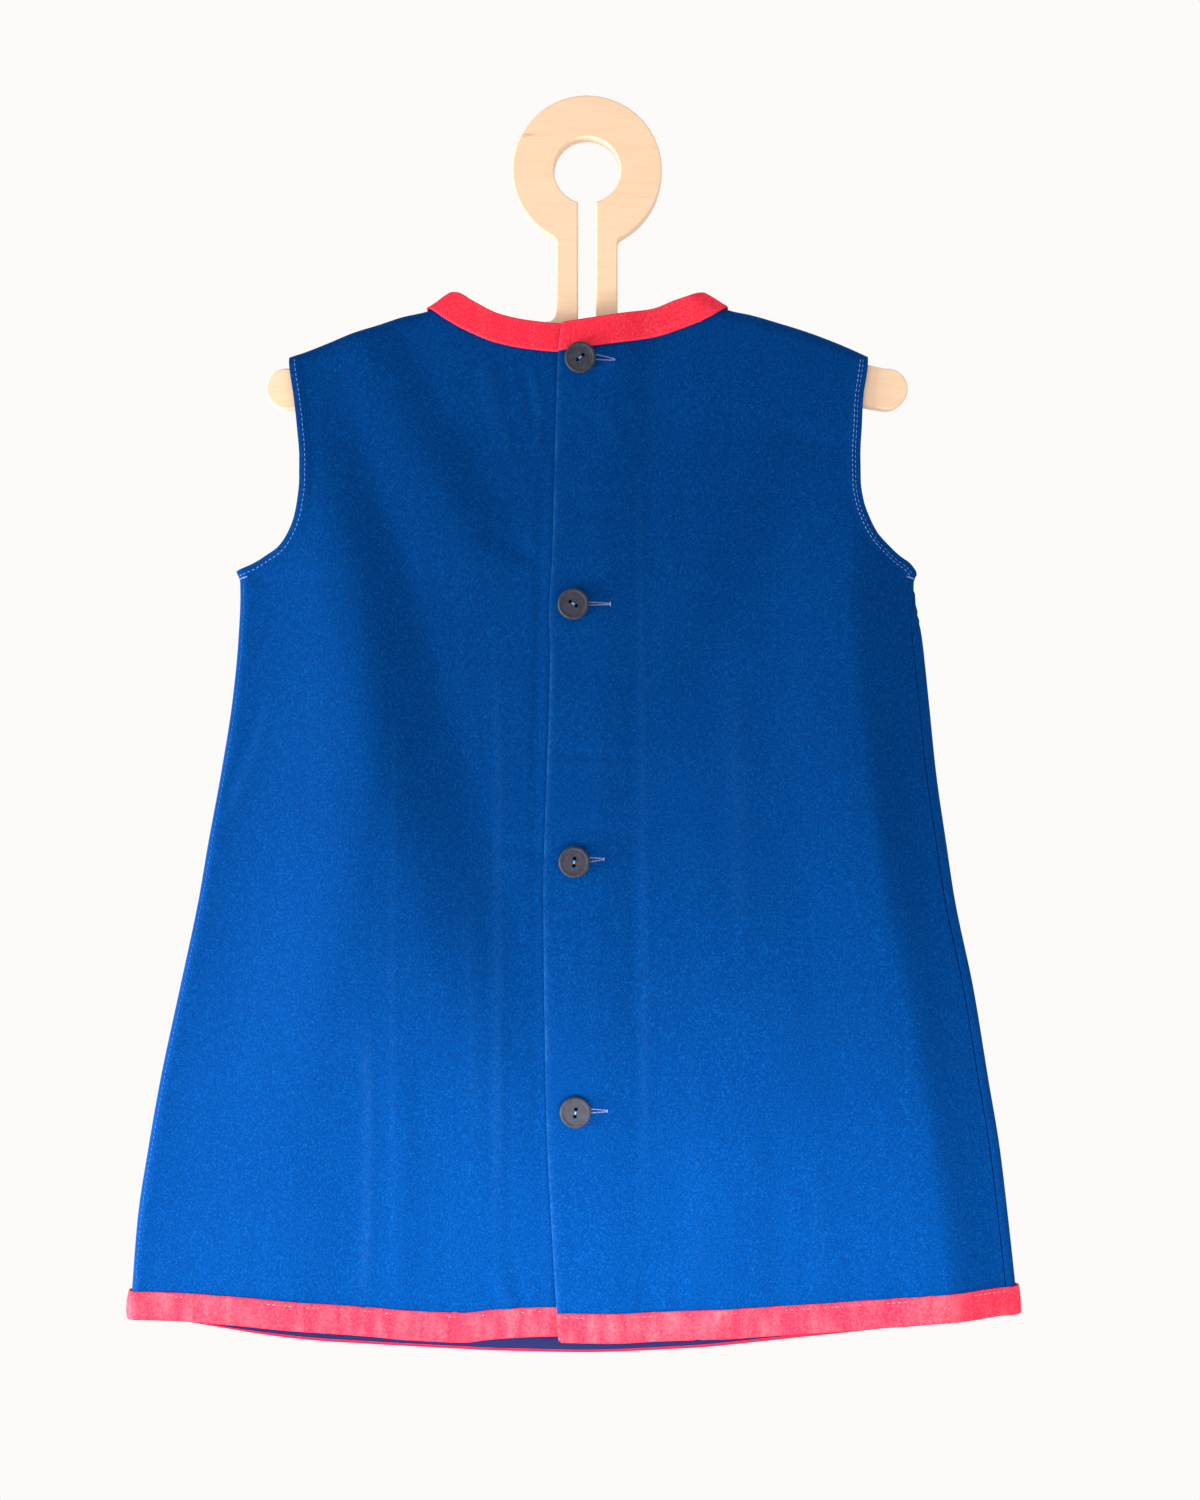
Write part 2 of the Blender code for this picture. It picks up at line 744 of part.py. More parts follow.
def button_mesh():
    """A dished round button with two holes."""
    profile = bpy.data.meshes.new("button_profile")
    form = bmesh.new()
    verts = [form.verts.new((mark.out * MM, 0.0, mark.up * MM)) for mark in BUTTON_SECTION]
    for start, end in zip(verts, verts[1:]):
        form.edges.new((start, end))
    form.to_mesh(profile)
    form.free()
    turned = bpy.data.objects.new("button_turned", profile)
    dress.objects.link(turned)
    spin = turned.modifiers.new("Turn", "SCREW")
    spin.steps = spin.render_steps = BUTTON_SIDES
    spin.use_merge_vertices = True
    spin.merge_threshold = WELD * MM

    cutter_mesh = bpy.data.meshes.new("button_holes")
    form = bmesh.new()
    for side in (-0.5, 0.5):
        made = bmesh.ops.create_cone(form, cap_ends=True, segments=BUTTON_HOLE_SIDES,
                                     radius1=BUTTON_HOLE_RADIUS * MM,
                                     radius2=BUTTON_HOLE_RADIUS * MM,
                                     depth=BUTTON_CUT * MM)
        shift = (side * BUTTON_HOLE_APART * MM, 0.0, 0.0)
        bmesh.ops.translate(form, vec=shift, verts=made["verts"])
    form.to_mesh(cutter_mesh)
    form.free()
    cutter = bpy.data.objects.new("button_holes", cutter_mesh)
    dress.objects.link(cutter)
    cut = turned.modifiers.new("Holes", "BOOLEAN")
    cut.operation = "DIFFERENCE"
    cut.object = cutter
    bpy.context.view_layer.update()
    mesh = bpy.data.meshes.new_from_object(
        turned.evaluated_get(bpy.context.evaluated_depsgraph_get()))
    mesh.name = "button"
    for thing in (turned, cutter):
        bpy.data.objects.remove(thing, do_unlink=True)
    mesh.materials.clear()
    mesh.materials.append(material("button", BLACK))
    smooth(mesh)
    return mesh


def buttons():
    """Four buttons, each bearing on the cloth or band beneath it."""
    mesh = button_mesh()
    for number, button in enumerate(BUTTONS, start=1):
        middle = laid_on_back(button.across, button.drop)
        marks = [middle]
        for ring in range(1, BUTTON_RINGS + 1):
            reach = BUTTON_RADIUS * ring / BUTTON_RINGS
            for i in range(BUTTON_SIDES):
                angle = math.tau * i / BUTTON_SIDES
                across = button.across + reach * math.cos(angle)
                drop = button.drop - reach * math.sin(angle)
                marks.append(laid_on_back(across, drop))
        first, second, third = marks[-BUTTON_SIDES::BUTTON_SIDES // 3]
        outward = (second - first).cross(third - first).normalized()
        if outward.y > 0.0:
            outward.negate()
        stand = max((mark - middle).dot(outward) for mark in marks) + BUTTON_GAP
        sideways = Vector((0.0, 0.0, 1.0)).cross(outward).normalized()
        upright = outward.cross(sideways)
        spin = math.radians(button.turn)
        holes = sideways * math.cos(spin) + upright * math.sin(spin)
        thing = bpy.data.objects.new(f"button_{number}", mesh)
        thing.matrix_world = Matrix.LocRotScale(
            (middle + outward * stand) * MM,
            Matrix((holes, outward.cross(holes), outward)).transposed(), None)
        dress.objects.link(thing)


def arc(centre, radius, start, end):
    """Points on a round, from one angle to another in degrees."""
    widest = math.degrees(2.0 * math.acos(1.0 - ARC_SAG / radius))
    steps = math.ceil(abs(end - start) / widest)
    marks = []
    for i in range(steps + 1):
        angle = math.radians(mix(start, end, i / steps))
        marks.append((centre[0] + radius * math.cos(angle),
                      centre[1] + radius * math.sin(angle)))
    return marks


def hanger_half():
    """The hanger's right half, from the head's top round to the middle of its foot."""
    reach = HEAD_RADIUS + NECK_FILLET
    fillet_out = STEM_HALF + NECK_FILLET
    lean = math.degrees(math.acos(fillet_out / reach))
    fillet_drop = HEAD_DROP + math.sqrt(reach ** 2 - fillet_out ** 2)
    shoulder = (STEM_HALF + ARM_FILLET, ARM_FILLET - ARM_TOP[0].drop)
    top, foot = through(ARM_TOP, "out", "drop"), through(ARM_FOOT, "out", "drop")
    marks = arc((0.0, -HEAD_DROP), HEAD_RADIUS, 90.0, -lean)
    marks += arc((fillet_out, -fillet_drop), NECK_FILLET, 180.0 - lean, 180.0)
    marks += arc(shoulder, ARM_FILLET, 180.0, 270.0)
    for i in range(1, ARM_POINTS + 1):
        out = mix(ARM_TOP[0].out, ARM_TOP[-1].out, i / ARM_POINTS)
        marks.append((out, -top(out)))
    marks += arc((TIP_OUT, -TIP_DROP), TIP_RADIUS, TIP_START, TIP_END)
    for i in range(ARM_POINTS, -1, -1):
        out = mix(ARM_FOOT[0].out, ARM_FOOT[-1].out, i / ARM_POINTS)
        marks.append((out, -foot(out)))
    return marks


def keyhole():
    """The hole and the slot below it, as one cut-out."""
    mouth = math.degrees(math.asin(SLOT_HALF / HOLE_RADIUS))
    marks = arc((0.0, -HEAD_DROP), HOLE_RADIUS, mouth - 90.0, 270.0 - mouth)
    marks += arc((0.0, -SLOT_END), SLOT_HALF, 180.0, 360.0)
    return marks


def hanger():
    """The flat plywood hanger, with its edges eased."""
    half = hanger_half()
    outline = half + [(-out, up) for out, up in reversed(half[1:-1])]
    curve = bpy.data.curves.new("hanger", "CURVE")
    curve.dimensions = "2D"
    curve.fill_mode = "BOTH"
    curve.extrude = (PLYWOOD / 2.0 - PLY_EDGE) * MM
    curve.bevel_depth = PLY_EDGE * MM
    curve.bevel_resolution = 0
    curve.offset = -PLY_EDGE * MM
    for marks in (outline, keyhole()):
        spline = curve.splines.new("POLY")
        spline.points.add(len(marks) - 1)
        for point, (out, up) in zip(spline.points, marks):
            point.co = (out * MM, up * MM, 0.0, 1.0)
        spline.use_cyclic_u = True
    thing = finish("hanger", curve, BIRCH)
    thing.rotation_euler = (math.radians(90.0), 0.0, 0.0)
    weld = thing.modifiers.new("Weld", "WELD")
    weld.merge_threshold = WELD * MM


for old in list(bpy.data.objects):
    bpy.data.objects.remove(old, do_unlink=True)
dress = bpy.data.collections.new("dress_on_hanger")
bpy.context.scene.collection.children.link(dress)

back_left = back_left_panel()
back_right = back_right_panel()
front = front_panel()
for piece in (back_left, back_right, front):
    piece.wall()
neck_band()
hem_band(back_left, front, back_right)
buttons()
hanger()
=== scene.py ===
"""A child's navy dress, buttoned down the back, hung on a plywood hanger.

Tables are in millimetres: "across" to the right of the dress's centre line, "out"
away from it on either side, and "drop" straight down from the hanger's hole.
"""

import math
import random
from bisect import bisect_right
from collections import namedtuple
from functools import partial

import bmesh
import bpy
from mathutils import Matrix, Vector, noise


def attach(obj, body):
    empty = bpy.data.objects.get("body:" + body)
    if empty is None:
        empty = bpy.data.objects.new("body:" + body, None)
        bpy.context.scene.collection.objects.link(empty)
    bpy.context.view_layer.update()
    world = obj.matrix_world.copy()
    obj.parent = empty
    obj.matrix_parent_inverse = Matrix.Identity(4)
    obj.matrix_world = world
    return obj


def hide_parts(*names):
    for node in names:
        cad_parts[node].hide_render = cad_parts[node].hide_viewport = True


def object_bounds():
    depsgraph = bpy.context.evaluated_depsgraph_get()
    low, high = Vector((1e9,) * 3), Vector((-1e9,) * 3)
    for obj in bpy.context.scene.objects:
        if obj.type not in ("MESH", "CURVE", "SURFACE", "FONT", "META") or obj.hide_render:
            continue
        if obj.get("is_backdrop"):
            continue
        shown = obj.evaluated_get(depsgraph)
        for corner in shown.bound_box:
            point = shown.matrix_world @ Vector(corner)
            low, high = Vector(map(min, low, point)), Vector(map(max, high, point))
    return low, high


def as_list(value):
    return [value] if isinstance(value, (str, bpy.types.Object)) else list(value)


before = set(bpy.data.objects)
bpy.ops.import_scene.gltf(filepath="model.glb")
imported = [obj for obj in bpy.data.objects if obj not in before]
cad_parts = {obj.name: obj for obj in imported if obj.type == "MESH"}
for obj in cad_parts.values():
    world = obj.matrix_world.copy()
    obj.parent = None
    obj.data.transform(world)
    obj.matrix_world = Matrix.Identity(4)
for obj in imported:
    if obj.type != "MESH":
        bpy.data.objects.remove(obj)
cad_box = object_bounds()

MM = 0.001
CENTRE = -4.7

# Cloth
WALL = 1.2
BAND_WALL = 1
SEAM_GAP = 0.3
LAID_GAP = 0.35
BAND_WIDTH = 13.5
BAND_ROLL = 0.6

# How the cloth turns over the hanger and round the sides
RIDGE_ROUND = 6.2
RIDGE_CLEAR = 0.45
RIDGE_CLEAR_FADE = 18.6
SIDE_ROUND = 5
REACH = {-1: 82, 1: 38}
SIDE_WRAP = 5.5
WRAP_GROWTH = 34
SEAM_SETBACK = 0.45
ARMHOLE_PEEK = 1.2

# Placket
OVERLAP = 24
OVERLAP_GAP = 0.6
OVERLAP_FADE = 26
PLACKET_STIFF = 0.35
PLACKET_STIFF_FADE = 18
BAND_LIFT = 1.6
BAND_LIFT_FADE = 16

Shoulder = namedtuple("Shoulder", "out left right")
SHOULDERS = [Shoulder(*row) for row in (
    (64.7, 79.3, 79.5), (75.2, 86.2, 85.5), (88, 89.2, 88.4), (100, 93.2, 91.9),
    (112, 96.9, 95.6), (124, 101.8, 99.9), (136, 106.6, 104.8), (144.3, 109.4, 108.6),
)]

Armhole = namedtuple("Armhole", "drop left right")
ARMHOLES = [Armhole(*row) for row in (
    (108.9, 144.3, 145.8), (118, 143.3, 144.8), (131, 141.3, 142.9), (146, 139.6, 142.2),
    (161, 138.4, 141.5), (172, 138.4, 141.5), (182, 139.4, 142.8), (190, 141, 145.5),
    (198, 144.2, 149.6), (205, 149.2, 156.2), (209.5, 155.8, 161.3), (213, 161.6, 166.4),
    (217, 171.3, 169.8),
)]

Side = namedtuple("Side", "drop left right")
SIDES = [Side(*row) for row in (
    (217, 171.3, 171), (222, 169.4, 168.8), (229, 169.3, 169.7), (251, 170.3, 173),
    (281, 173.2, 176.2), (318, 179, 180), (354, 185.6, 185.2), (381, 190.2, 189.3),
    (426, 199.7, 198.7), (471, 209.3, 206.1), (506, 215.5, 211.9), (541, 220.8, 216.1),
    (590, 224.6, 221.4),
)]

Hem = namedtuple("Hem", "across back_left back_right front")
HEMS = [Hem(*row) for row in (
    (-224.6, 590.4, 590.4, 590.4), (-198.8, 590.2, 590.2, 594), (-172.3, 590.8, 590.8, 598.4),
    (-139.3, 592.9, 592.9, 603.2), (-106.3, 595.4, 595.4, 605.5), (-72.8, 598, 598, 607.3),
    (-56.3, 598.6, 598.6, 608.2), (-39.8, 596.8, 598.7, 608.9), (-10, 595.5, 597.8, 609.4),
    (24.2, 595.4, 598.3, 609), (65.7, 594.6, 597, 607.1), (90.7, 593.6, 595.8, 604.9),
    (123.7, 592.6, 593.6, 601.1), (157.2, 590.7, 591.1, 597.5), (190.2, 587.9, 588.3, 593.9),
    (212, 587.8, 587.8, 587.8), (221.4, 587.7, 587.7, 587.7),
)]

# The neckline's fold, and the foot of its band, from the placket or the front's
# middle out to the shoulder
Neck = namedtuple("Neck", "out drop foot_out foot_drop")
NECK_LEFT = [Neck(*row) for row in (
    (-14, 94.9, -14, 108.4), (8, 94.3, 9, 107.8), (25.8, 92.5, 25.8, 106.2),
    (39.3, 89.4, 40.6, 103.2), (52, 83.2, 56.6, 96.6), (59.2, 79.4, 67, 90.7),
    (63.4, 79, 73.3, 86.6), (64.7, 79.3, 75.2, 86.2),
)]
NECK_RIGHT = [Neck(*row) for row in (
    (-8, 94.2, -9.6, 107.7), (7.7, 91.8, 8.7, 105.3), (23.7, 89.3, 24.4, 103),
    (37.5, 87, 39.5, 100.2), (49, 82.6, 53.6, 95.6), (58, 79.9, 65, 90.8),
    (63.4, 79.2, 73, 86.4), (64.7, 79.5, 75.2, 85.5),
)]
NECK_FRONT = [Neck(*row) for row in (
    (0, 132.5, 0, 146), (17, 129.8, 20.4, 142.9), (33, 122.4, 40.6, 133.6),
    (47, 111, 57.6, 119.4), (57, 98, 69.4, 103.2), (62.5, 87.5, 74.9, 91.4),
    (64.7, 79.4, 75.2, 85.9),
)]

Placket = namedtuple("Placket", "drop across")
PLACKET = [Placket(*row) for row in (
    (94.2, -8), (107.7, -9.6), (146, -10.9), (211, -12.5), (239, -14), (256, -13.5),
    (346, -16.1), (371, -16.8), (486, -15.4), (551, -12.3), (602.5, -9),
)]

# Depth of each panel at its middle, and where its edge starts to turn
Section = namedtuple("Section", "drop back front edge")
SECTIONS = [Section(*row) for row in (
    (78, 6.3, 6.3, 6.2), (140, 6.8, 6.7, 6.3), (170, 8.6, 7.4, 6), (220, 11.6, 8.2, 5),
    (350, 13.6, 8.8, 4.4), (480, 14.2, 9.2, 4.4), (615, 14.8, 9.6, 4.6),
)]

# Broad folds, each a soft ridge or trough along a line; rise is outwards
Fold = namedtuple("Fold", "across drop to_across to_drop half_width rise")
FRONT_FOLDS = [Fold(*row) for row in (
    (-70, 210, -96, 470, 40, 1.8), (-18, 190, -30, 380, 36, -2), (64, 230, 92, 590, 42, 2),
    (20, 400, 8, 600, 34, -1.8), (-150, 420, -168, 590, 28, -1.2),
)]

Button = namedtuple("Button", "across drop turn")
BUTTONS = [Button(*row) for row in (
    (1.3, 111, 40), (-2, 234.1, -35), (-1.5, 361.6, 85), (-0.9, 485.2, 82),
)]

# Folds, ripples, puckers and turned edges
FACE_SEED = {"back": 2, "front": 9}
ARM_CLEAR = 140
TROUGH_ON_ARM, TROUGH_BELOW = 0.1, 4
SLACK, FINE_SLACK = 0.40, 0.35
SLACK_SIZE, FINE_SLACK_SIZE = (46, 78), (17, 30)
SEAM_PUCKER, SEAM_PUCKER_LENGTH, SEAM_PUCKER_FADE = 0.9, 9, 7
HEM_PUCKER, HEM_PUCKER_LENGTH, HEM_PUCKER_FADE = 0.8, 11, 12
RIPPLE_AT_EDGE = 0.25
EDGE_FADE, INNER_FADE, BODY_FADE = 5, 14, 30
BAND_PUFF, NECK_PUFF = 0.25, 0.12
BAND_PUCKER = 0.60
# The bands' pale rub, and how far the hem band's pucker tops are painted paler as highlight and
# their valleys darker as shade
BAND_WORN, PUCKER_HIGHLIGHT_AND_SHADE = 0.06, 0.26
FRONT_ROLL = 1.1
CORNER_ROUND = 2.6
TURN_RISE = 0.45
TURN_WIDTH, TURN_FADE = 4.2, 1.6

# How pale the cloth is rubbed along each kind of edge, and how soon that fades
Rub = namedtuple("Rub", "pale fade")
FOLD_RUB, SIDE_RUB = Rub(0.55, 0.9), Rub(0.16, 2.2)
ARMHOLE_RUB, RIDGE_RUB = Rub(0.22, 0.8), Rub(0.20, 1.6)
CREASE_RUB = 0.45
# The mark for the cloth's wrong side, coloured darker partly for the duller back of the twill
# and mostly as painted shade where the inside of the dress shows
WRONG_SIDE_SHADE = -1

# Rows and columns of each piece, and insets from its edges
TOP_INSETS = (0, 0.3, 0.8, 1.6, 2.8, 4.2, 6, 8, 10)
UNDERARM_INSETS = (1.4, 2.8, 5, 8, 11)
FOLDED_INSETS = (0, 0.3, 0.8, 1.6, 2.8, 4.5, 6.5, 9, 12, 15, 18, 21, 24)
EDGE_INSETS = (0, 0.3, 0.8, 1.6, 2.6, 3.8, 5.2, 7.2)
WRAP_INSETS = (0, 1.4, 2.8, 4, 4.7, 5.2, 5.5, 5.8, 6.3, 7.1, 8.4, 10.2)
SEAM_INSETS = (0, 0.4, 1, 2, 3.6, 5.6, 8)
CORNER_INSETS = (0, 0.5, 1.2, 2.2, 3.4, 4.6, 6, 8, 10, 12.5, 15)
PANEL_HEIGHT = 495
FINE_BACK = 9
FINE_FRONT = 5
SHOULDER_COLUMNS = 6
SHOULDER_CROWDING = 1.13
BACK_NECK_COLUMNS = 4
FRONT_NECK_COLUMNS = 6
NECK_CROWDING = 0.7
ARMHOLE_ROWS = 52
ARMHOLE_CROWDING = 1.35
SKIRT_ROWS = 160
BAND_SPACING = 2.4
NECK_BAND_ROWS = (0, 0.05, 0.14, 0.35, 0.6, 0.82, 0.93, 1)
HEM_BAND_ROWS = (0, 0.05, 0.14, 0.3, 0.5, 0.7, 0.86, 0.95, 1)
UNDERARM = 0.24
SHAPE_FADE = 2.5
STEP = 1e-3

# Places along each row of stitches, and the share of a band where its stitches lie
ARMHOLE_MARKS, SIDE_MARKS, NECK_MARKS, RIM_MARKS = 60, 90, 40, 40
NECK_STITCHES_AT, HEM_STITCHES_AT = 0.90, 0.86
LIP_SPACING = 0.36


def through(rows, key, value):
    """A smooth function through one column of a table, straight past its ends."""
    keys = [getattr(row, key) for row in rows]
    values = [getattr(row, value) for row in rows]
    runs = [b - a for a, b in zip(keys, keys[1:])]
    steps = [(b - a) / run for a, b, run in zip(values, values[1:], runs)]
    slopes = [steps[0]]
    for before, after in zip(steps, steps[1:]):
        level = before * after <= 0
        slopes.append(0 if level else 2 * before * after / (before + after))
    slopes.append(steps[-1])

    def at(place):
        if place <= keys[0]:
            return values[0] + slopes[0] * (place - keys[0])
        if place >= keys[-1]:
            return values[-1] + slopes[-1] * (place - keys[-1])
        i = max(n for n, start in enumerate(keys) if start <= place)
        t = (place - keys[i]) / runs[i]
        rise = t * t * (3 - 2 * t)
        lean = t * (1 - t) * runs[i]
        return (values[i] * (1 - rise) + values[i + 1] * rise
                + lean * ((1 - t) * slopes[i] - t * slopes[i + 1]))

    return at


def ease(t):
    """0 to 1 with level ends."""
    t = min(max(t, 0), 1)
    return t * t * (3 - 2 * t)


def turn(t):
    """A quarter round: 0 at the edge, 1 where it has turned."""
    t = min(max(t, 0), 1)
    return math.sqrt(1 - (1 - t) ** 2)


def mix(a, b, t):
    return a + (b - a) * t


SIDE_NAME = {-1: "left", 1: "right"}
ridge_at = {side: through(SHOULDERS, "out", name) for side, name in SIDE_NAME.items()}
armhole_at = {side: through(ARMHOLES, "drop", name) for side, name in SIDE_NAME.items()}
seam_at = {side: through(SIDES, "drop", name) for side, name in SIDE_NAME.items()}
hem_at = {name: through(HEMS, "across", name) for name in ("back_left", "back_right", "front")}
placket_at = through(PLACKET, "drop", "across")
section_at = {name: through(SECTIONS, "drop", name) for name in ("back", "front", "edge")}
TIP_ROW = ARMHOLES[-1].drop
TACK_DROP = TIP_ROW + 2.6


def side_of(across):
    return -1 if across < 0 else 1


def ridge_drop(across):
    """The drop of the shoulder's ridge at a place across."""
    return ridge_at[side_of(across)](abs(across))


def armhole_drop(t):
    """The drop at a share of the armhole, closer together towards its end."""
    return mix(ARMHOLES[0].drop, TIP_ROW, 1 - (1 - t) ** ARMHOLE_CROWDING)


def noisy(x, y, z):
    return noise.noise(Vector((x, y, z)))


def edge_at(side, drop):
    """How far out the dress's side lies; level above the underarm."""
    return seam_at[side](max(drop, TIP_ROW))


def side_wrap(drop):
    """How far the front panel comes round the right side onto the back."""
    return SIDE_WRAP * ease((drop - TIP_ROW) / WRAP_GROWTH)


# Broad folds of the back, each along a bowed line, with its own reach to either side
Broad = namedtuple("Broad", "across drop to_across to_drop bow left right rise")
BACK_BROAD = [Broad(*row) for row in (
    (-200, 20, -42, 520, 3, 120, 50, 8.8), (-134, 70, -38, 240, 4, 34, 26, 2.3),
    (168, 84, 54, 318, -8, 34, 60, -2.1), (144, 130, 152, 420, -4, 50, 22, 2),
    (146, 270, 210, 660, -8, 50, 18, 2.4), (-132, 500, -136, 640, 0, 30, 26, 0.8),
    (-86, 440, -86, 660, 0, 14, 9, 0.7), (70, 470, 76, 660, 0, 30, 26, 0.8),
)]

# Creases, each a soft ridge or trough along a bowed line; pale is how worn its top is
Crease = namedtuple("Crease", "across drop to_across to_drop bow half_width rise pale")
BACK_CREASES = [Crease(*row) for row in (
    # left half, down its length
    (-104, 420, -106, 600, 1, 5, 0.24, 0.26), (-92, 470, -94, 600, -1, 3.6, -0.30, 0),
    (-88, 240, -90, 592, -2, 3, 0.10, 0.12), (-40, 225, -41, 585, 1.5, 5, 0.26, 0.20),
    (-34.5, 400, -34, 588, 0.6, 3, -0.30, 0), (-57, 360, -52, 520, 3, 9, 0.18, 0.08),
    (-71, 470, -66, 600, 2, 7, -0.22, 0),
    # left half, slanting from the side and the shoulder
    (-156, 274, -183, 342, 2.5, 4, -0.36, 0), (-152, 278, -180, 348, 2.5, 4, 0.22, 0.14),
    (-30, 112, -20, 150, 2, 5, -0.4, 0), (-46, 104, -30, 168, -3, 8, 0.35, 0.06),
    (-24, 108, -17, 176, 1, 3, 0.28, 0.08), (-52, 196, -16, 214, 1.5, 7, -0.45, 0),
    # left half, level ones by the placket
    (-43, 352, -17, 356, 1, 6, -0.5, 0), (-43, 362.5, -17, 364, 1, 4, 0.4, 0.05),
    (-38, 300, -17, 304, 1, 6, -0.3, 0), (-38, 452, -17, 458, 1, 7, -0.4, 0),
    (-42, 560, -32, 592, 1.4, 6, 0.9, 0.05), (-14.5, 106, -16, 600, -5.2, 4, -0.45, 0),
    (-33, 552, -28, 590, 1, 5, -0.7, 0),
    # right half, down its length
    (29, 112, 33, 585, 2, 4, 0.18, 0.14), (25.5, 300, 29.5, 560, 1.5, 3, -0.22, 0),
    (74, 240, 79, 420, 3, 10, 0.16, 0.12), (98, 470, 104, 600, -2, 9, -0.25, 0),
    (116, 500, 122, 610, 2, 8, 0.28, 0.04), (56, 430, 61, 590, 2, 9, 0.15, 0.04),
    # right half, by the neck and the placket
    (30, 104, 46, 150, -3, 9, -0.18, 0), (8, 128, 22, 160, 2, 6, 0.25, 0.04),
    (-13, 308, 33, 308.5, -1.2, 3.6, -0.50, 0), (-13, 312, 33, 312, -1.2, 3.2, 0.30, 0.06),
    (-6, 346, 32, 349, 1.5, 4.5, -0.35, 0), (-8, 190, 26, 188, 1, 6, -0.25, 0),
    (-8, 268, 28, 272, 1, 5, -0.25, 0), (-8, 400, 24, 397, 1, 5, -0.22, 0),
    (-8, 452, 30, 449, -1, 6, 0.25, 0),
)]
FRONT_CREASES = [Crease(*row) for row in (
    (-118, 150, -96, 330, 5, 13, 0.8, 0.05), (104, 140, 82, 318, -4, 12, 0.7, 0.05),
    (-84, 250, -110, 580, -4, 10, -0.8, 0), (-52, 330, -58, 600, 3, 8, 0.6, 0.1),
    (0, 180, 3, 600, 2, 4, 0.35, 0.2), (44, 300, 52, 590, -3, 9, -0.6, 0),
    (96, 260, 124, 585, 6, 11, 0.8, 0.05), (-150, 232, -112, 300, -4, 10, -0.8, 0),
    (148, 236, 118, 286, 3, 9, -0.7, 0), (-40, 152, -20, 210, 3, 8, 0.4, 0),
    (38, 150, 24, 220, -3, 9, 0.4, 0), (150, 400, 170, 570, 4, 10, -0.6, 0),
)]


def profile_along(row, left, right, across, drop):
    """How strongly a fold or crease acts at a place: 1 on its line, 0 beyond its reach."""
    run, fall = row.to_across - row.across, row.to_drop - row.drop
    length = math.hypot(run, fall)
    ahead = ((across - row.across) * run + (drop - row.drop) * fall) / (length * length)
    if not 0 < ahead < 1:
        return 0
    beside = ((across - row.across) * fall - (drop - row.drop) * run) / length
    beside -= row.bow * 4 * ahead * (1 - ahead)
    beside /= left if beside < 0 else right
    if abs(beside) >= 1:
        return 0
    return (1 - beside * beside) ** 2 * ease(4 * min(ahead, 1 - ahead))


def creased(rows, across, drop):
    """The height that creases add at a place."""
    return sum(row.rise * profile_along(row, row.half_width, row.half_width, across, drop)
               for row in rows)


def fold_rise(folds, across, drop):
    """The height that the broad folds add at a place."""
    rise = 0
    for fold in folds:
        run, fall = fold.to_across - fold.across, fold.to_drop - fold.drop
        right, down = across - fold.across, drop - fold.drop
        t = min(max((right * run + down * fall) / (run * run + fall * fall), 0), 1)
        away = math.hypot(right - run * t, down - fall * t) / fold.half_width
        if away < 1:
            rise += fold.rise * (1 - away * away) ** 2
    return rise


def ripple(face, across, drop, inset):
    """Fine unevenness: slack cloth, puckers beside the side seams and above the hem."""
    seed = FACE_SEED[face]
    slack = SLACK * noisy(across / SLACK_SIZE[0], drop / SLACK_SIZE[1], seed)
    slack += FINE_SLACK * SLACK * noisy(
        across / FINE_SLACK_SIZE[0], drop / FINE_SLACK_SIZE[1], seed + 5)
    beside_seam = math.exp(-max(inset, 0) / SEAM_PUCKER_FADE) * ease((drop - TIP_ROW) / 20)
    pucker = noisy(seed, drop / SEAM_PUCKER_LENGTH, across / 60) * beside_seam * SEAM_PUCKER
    to_band = abs(hem_at["back_left"](across) - BAND_WIDTH - drop)
    above_hem = math.exp(-to_band / HEM_PUCKER_FADE)
    pucker += noisy(across / HEM_PUCKER_LENGTH, seed, 3) * above_hem * HEM_PUCKER
    return slack + pucker


def armhole_turn(side, out, drop):
    """The turned edge round the armhole, a little thicker than the cloth beside it."""
    if drop > TIP_ROW + 6:
        return 0
    slope = (armhole_at[side](drop + 1) - armhole_at[side](drop - 1)) / 2
    inside = (armhole_at[side](drop) - out) / math.hypot(1, slope)
    return TURN_RISE * (1 - ease((inside - TURN_WIDTH) / TURN_FADE))


def cloth_depth(face, across, drop):
    """Depth of a face's outer surface, closing at the shoulder ridge and the sides."""
    side, out = side_of(across), abs(across)
    inset = edge_at(side, drop) - out
    below = drop - ridge_drop(across)
    over_ridge = turn(below / RIDGE_ROUND)
    round_side = turn(inset / SIDE_ROUND)
    edge = section_at["edge"](drop)
    full = section_at[face](drop) - edge
    inner = ease(inset / INNER_FADE) * ease(below / BODY_FADE)
    if face == "back":
        give = placket_give(across, drop)
        broad = sum(row.rise * profile_along(row, row.left, row.right, across, drop)
                    for row in BACK_BROAD)
        deepest = mix(TROUGH_ON_ARM, TROUGH_BELOW, ease((drop - ARM_CLEAR) / BODY_FADE))
        full += give * max(broad, -deepest)
        fine = creased(BACK_CREASES, across, drop)
    else:
        give = 1
        full += fold_rise(FRONT_FOLDS, across, drop)
        fine = creased(FRONT_CREASES, across, drop)
    fine += ripple(face, across, drop, inset) * mix(RIPPLE_AT_EDGE, 1, inner) * give
    depth = (edge + full * ease(inset / REACH[side])) * over_ridge
    turned = armhole_turn(side, out, drop) * over_ridge
    depth += fine * ease(inset / EDGE_FADE) * over_ridge + turned
    return depth * round_side


def placket_give(across, drop):
    """How freely the cloth folds: less where the two halves lie on each other."""
    middle = placket_at(drop) + OVERLAP / 2
    away = (abs(across - middle) - OVERLAP / 2) / PLACKET_STIFF_FADE
    return mix(PLACKET_STIFF, 1, ease(away))


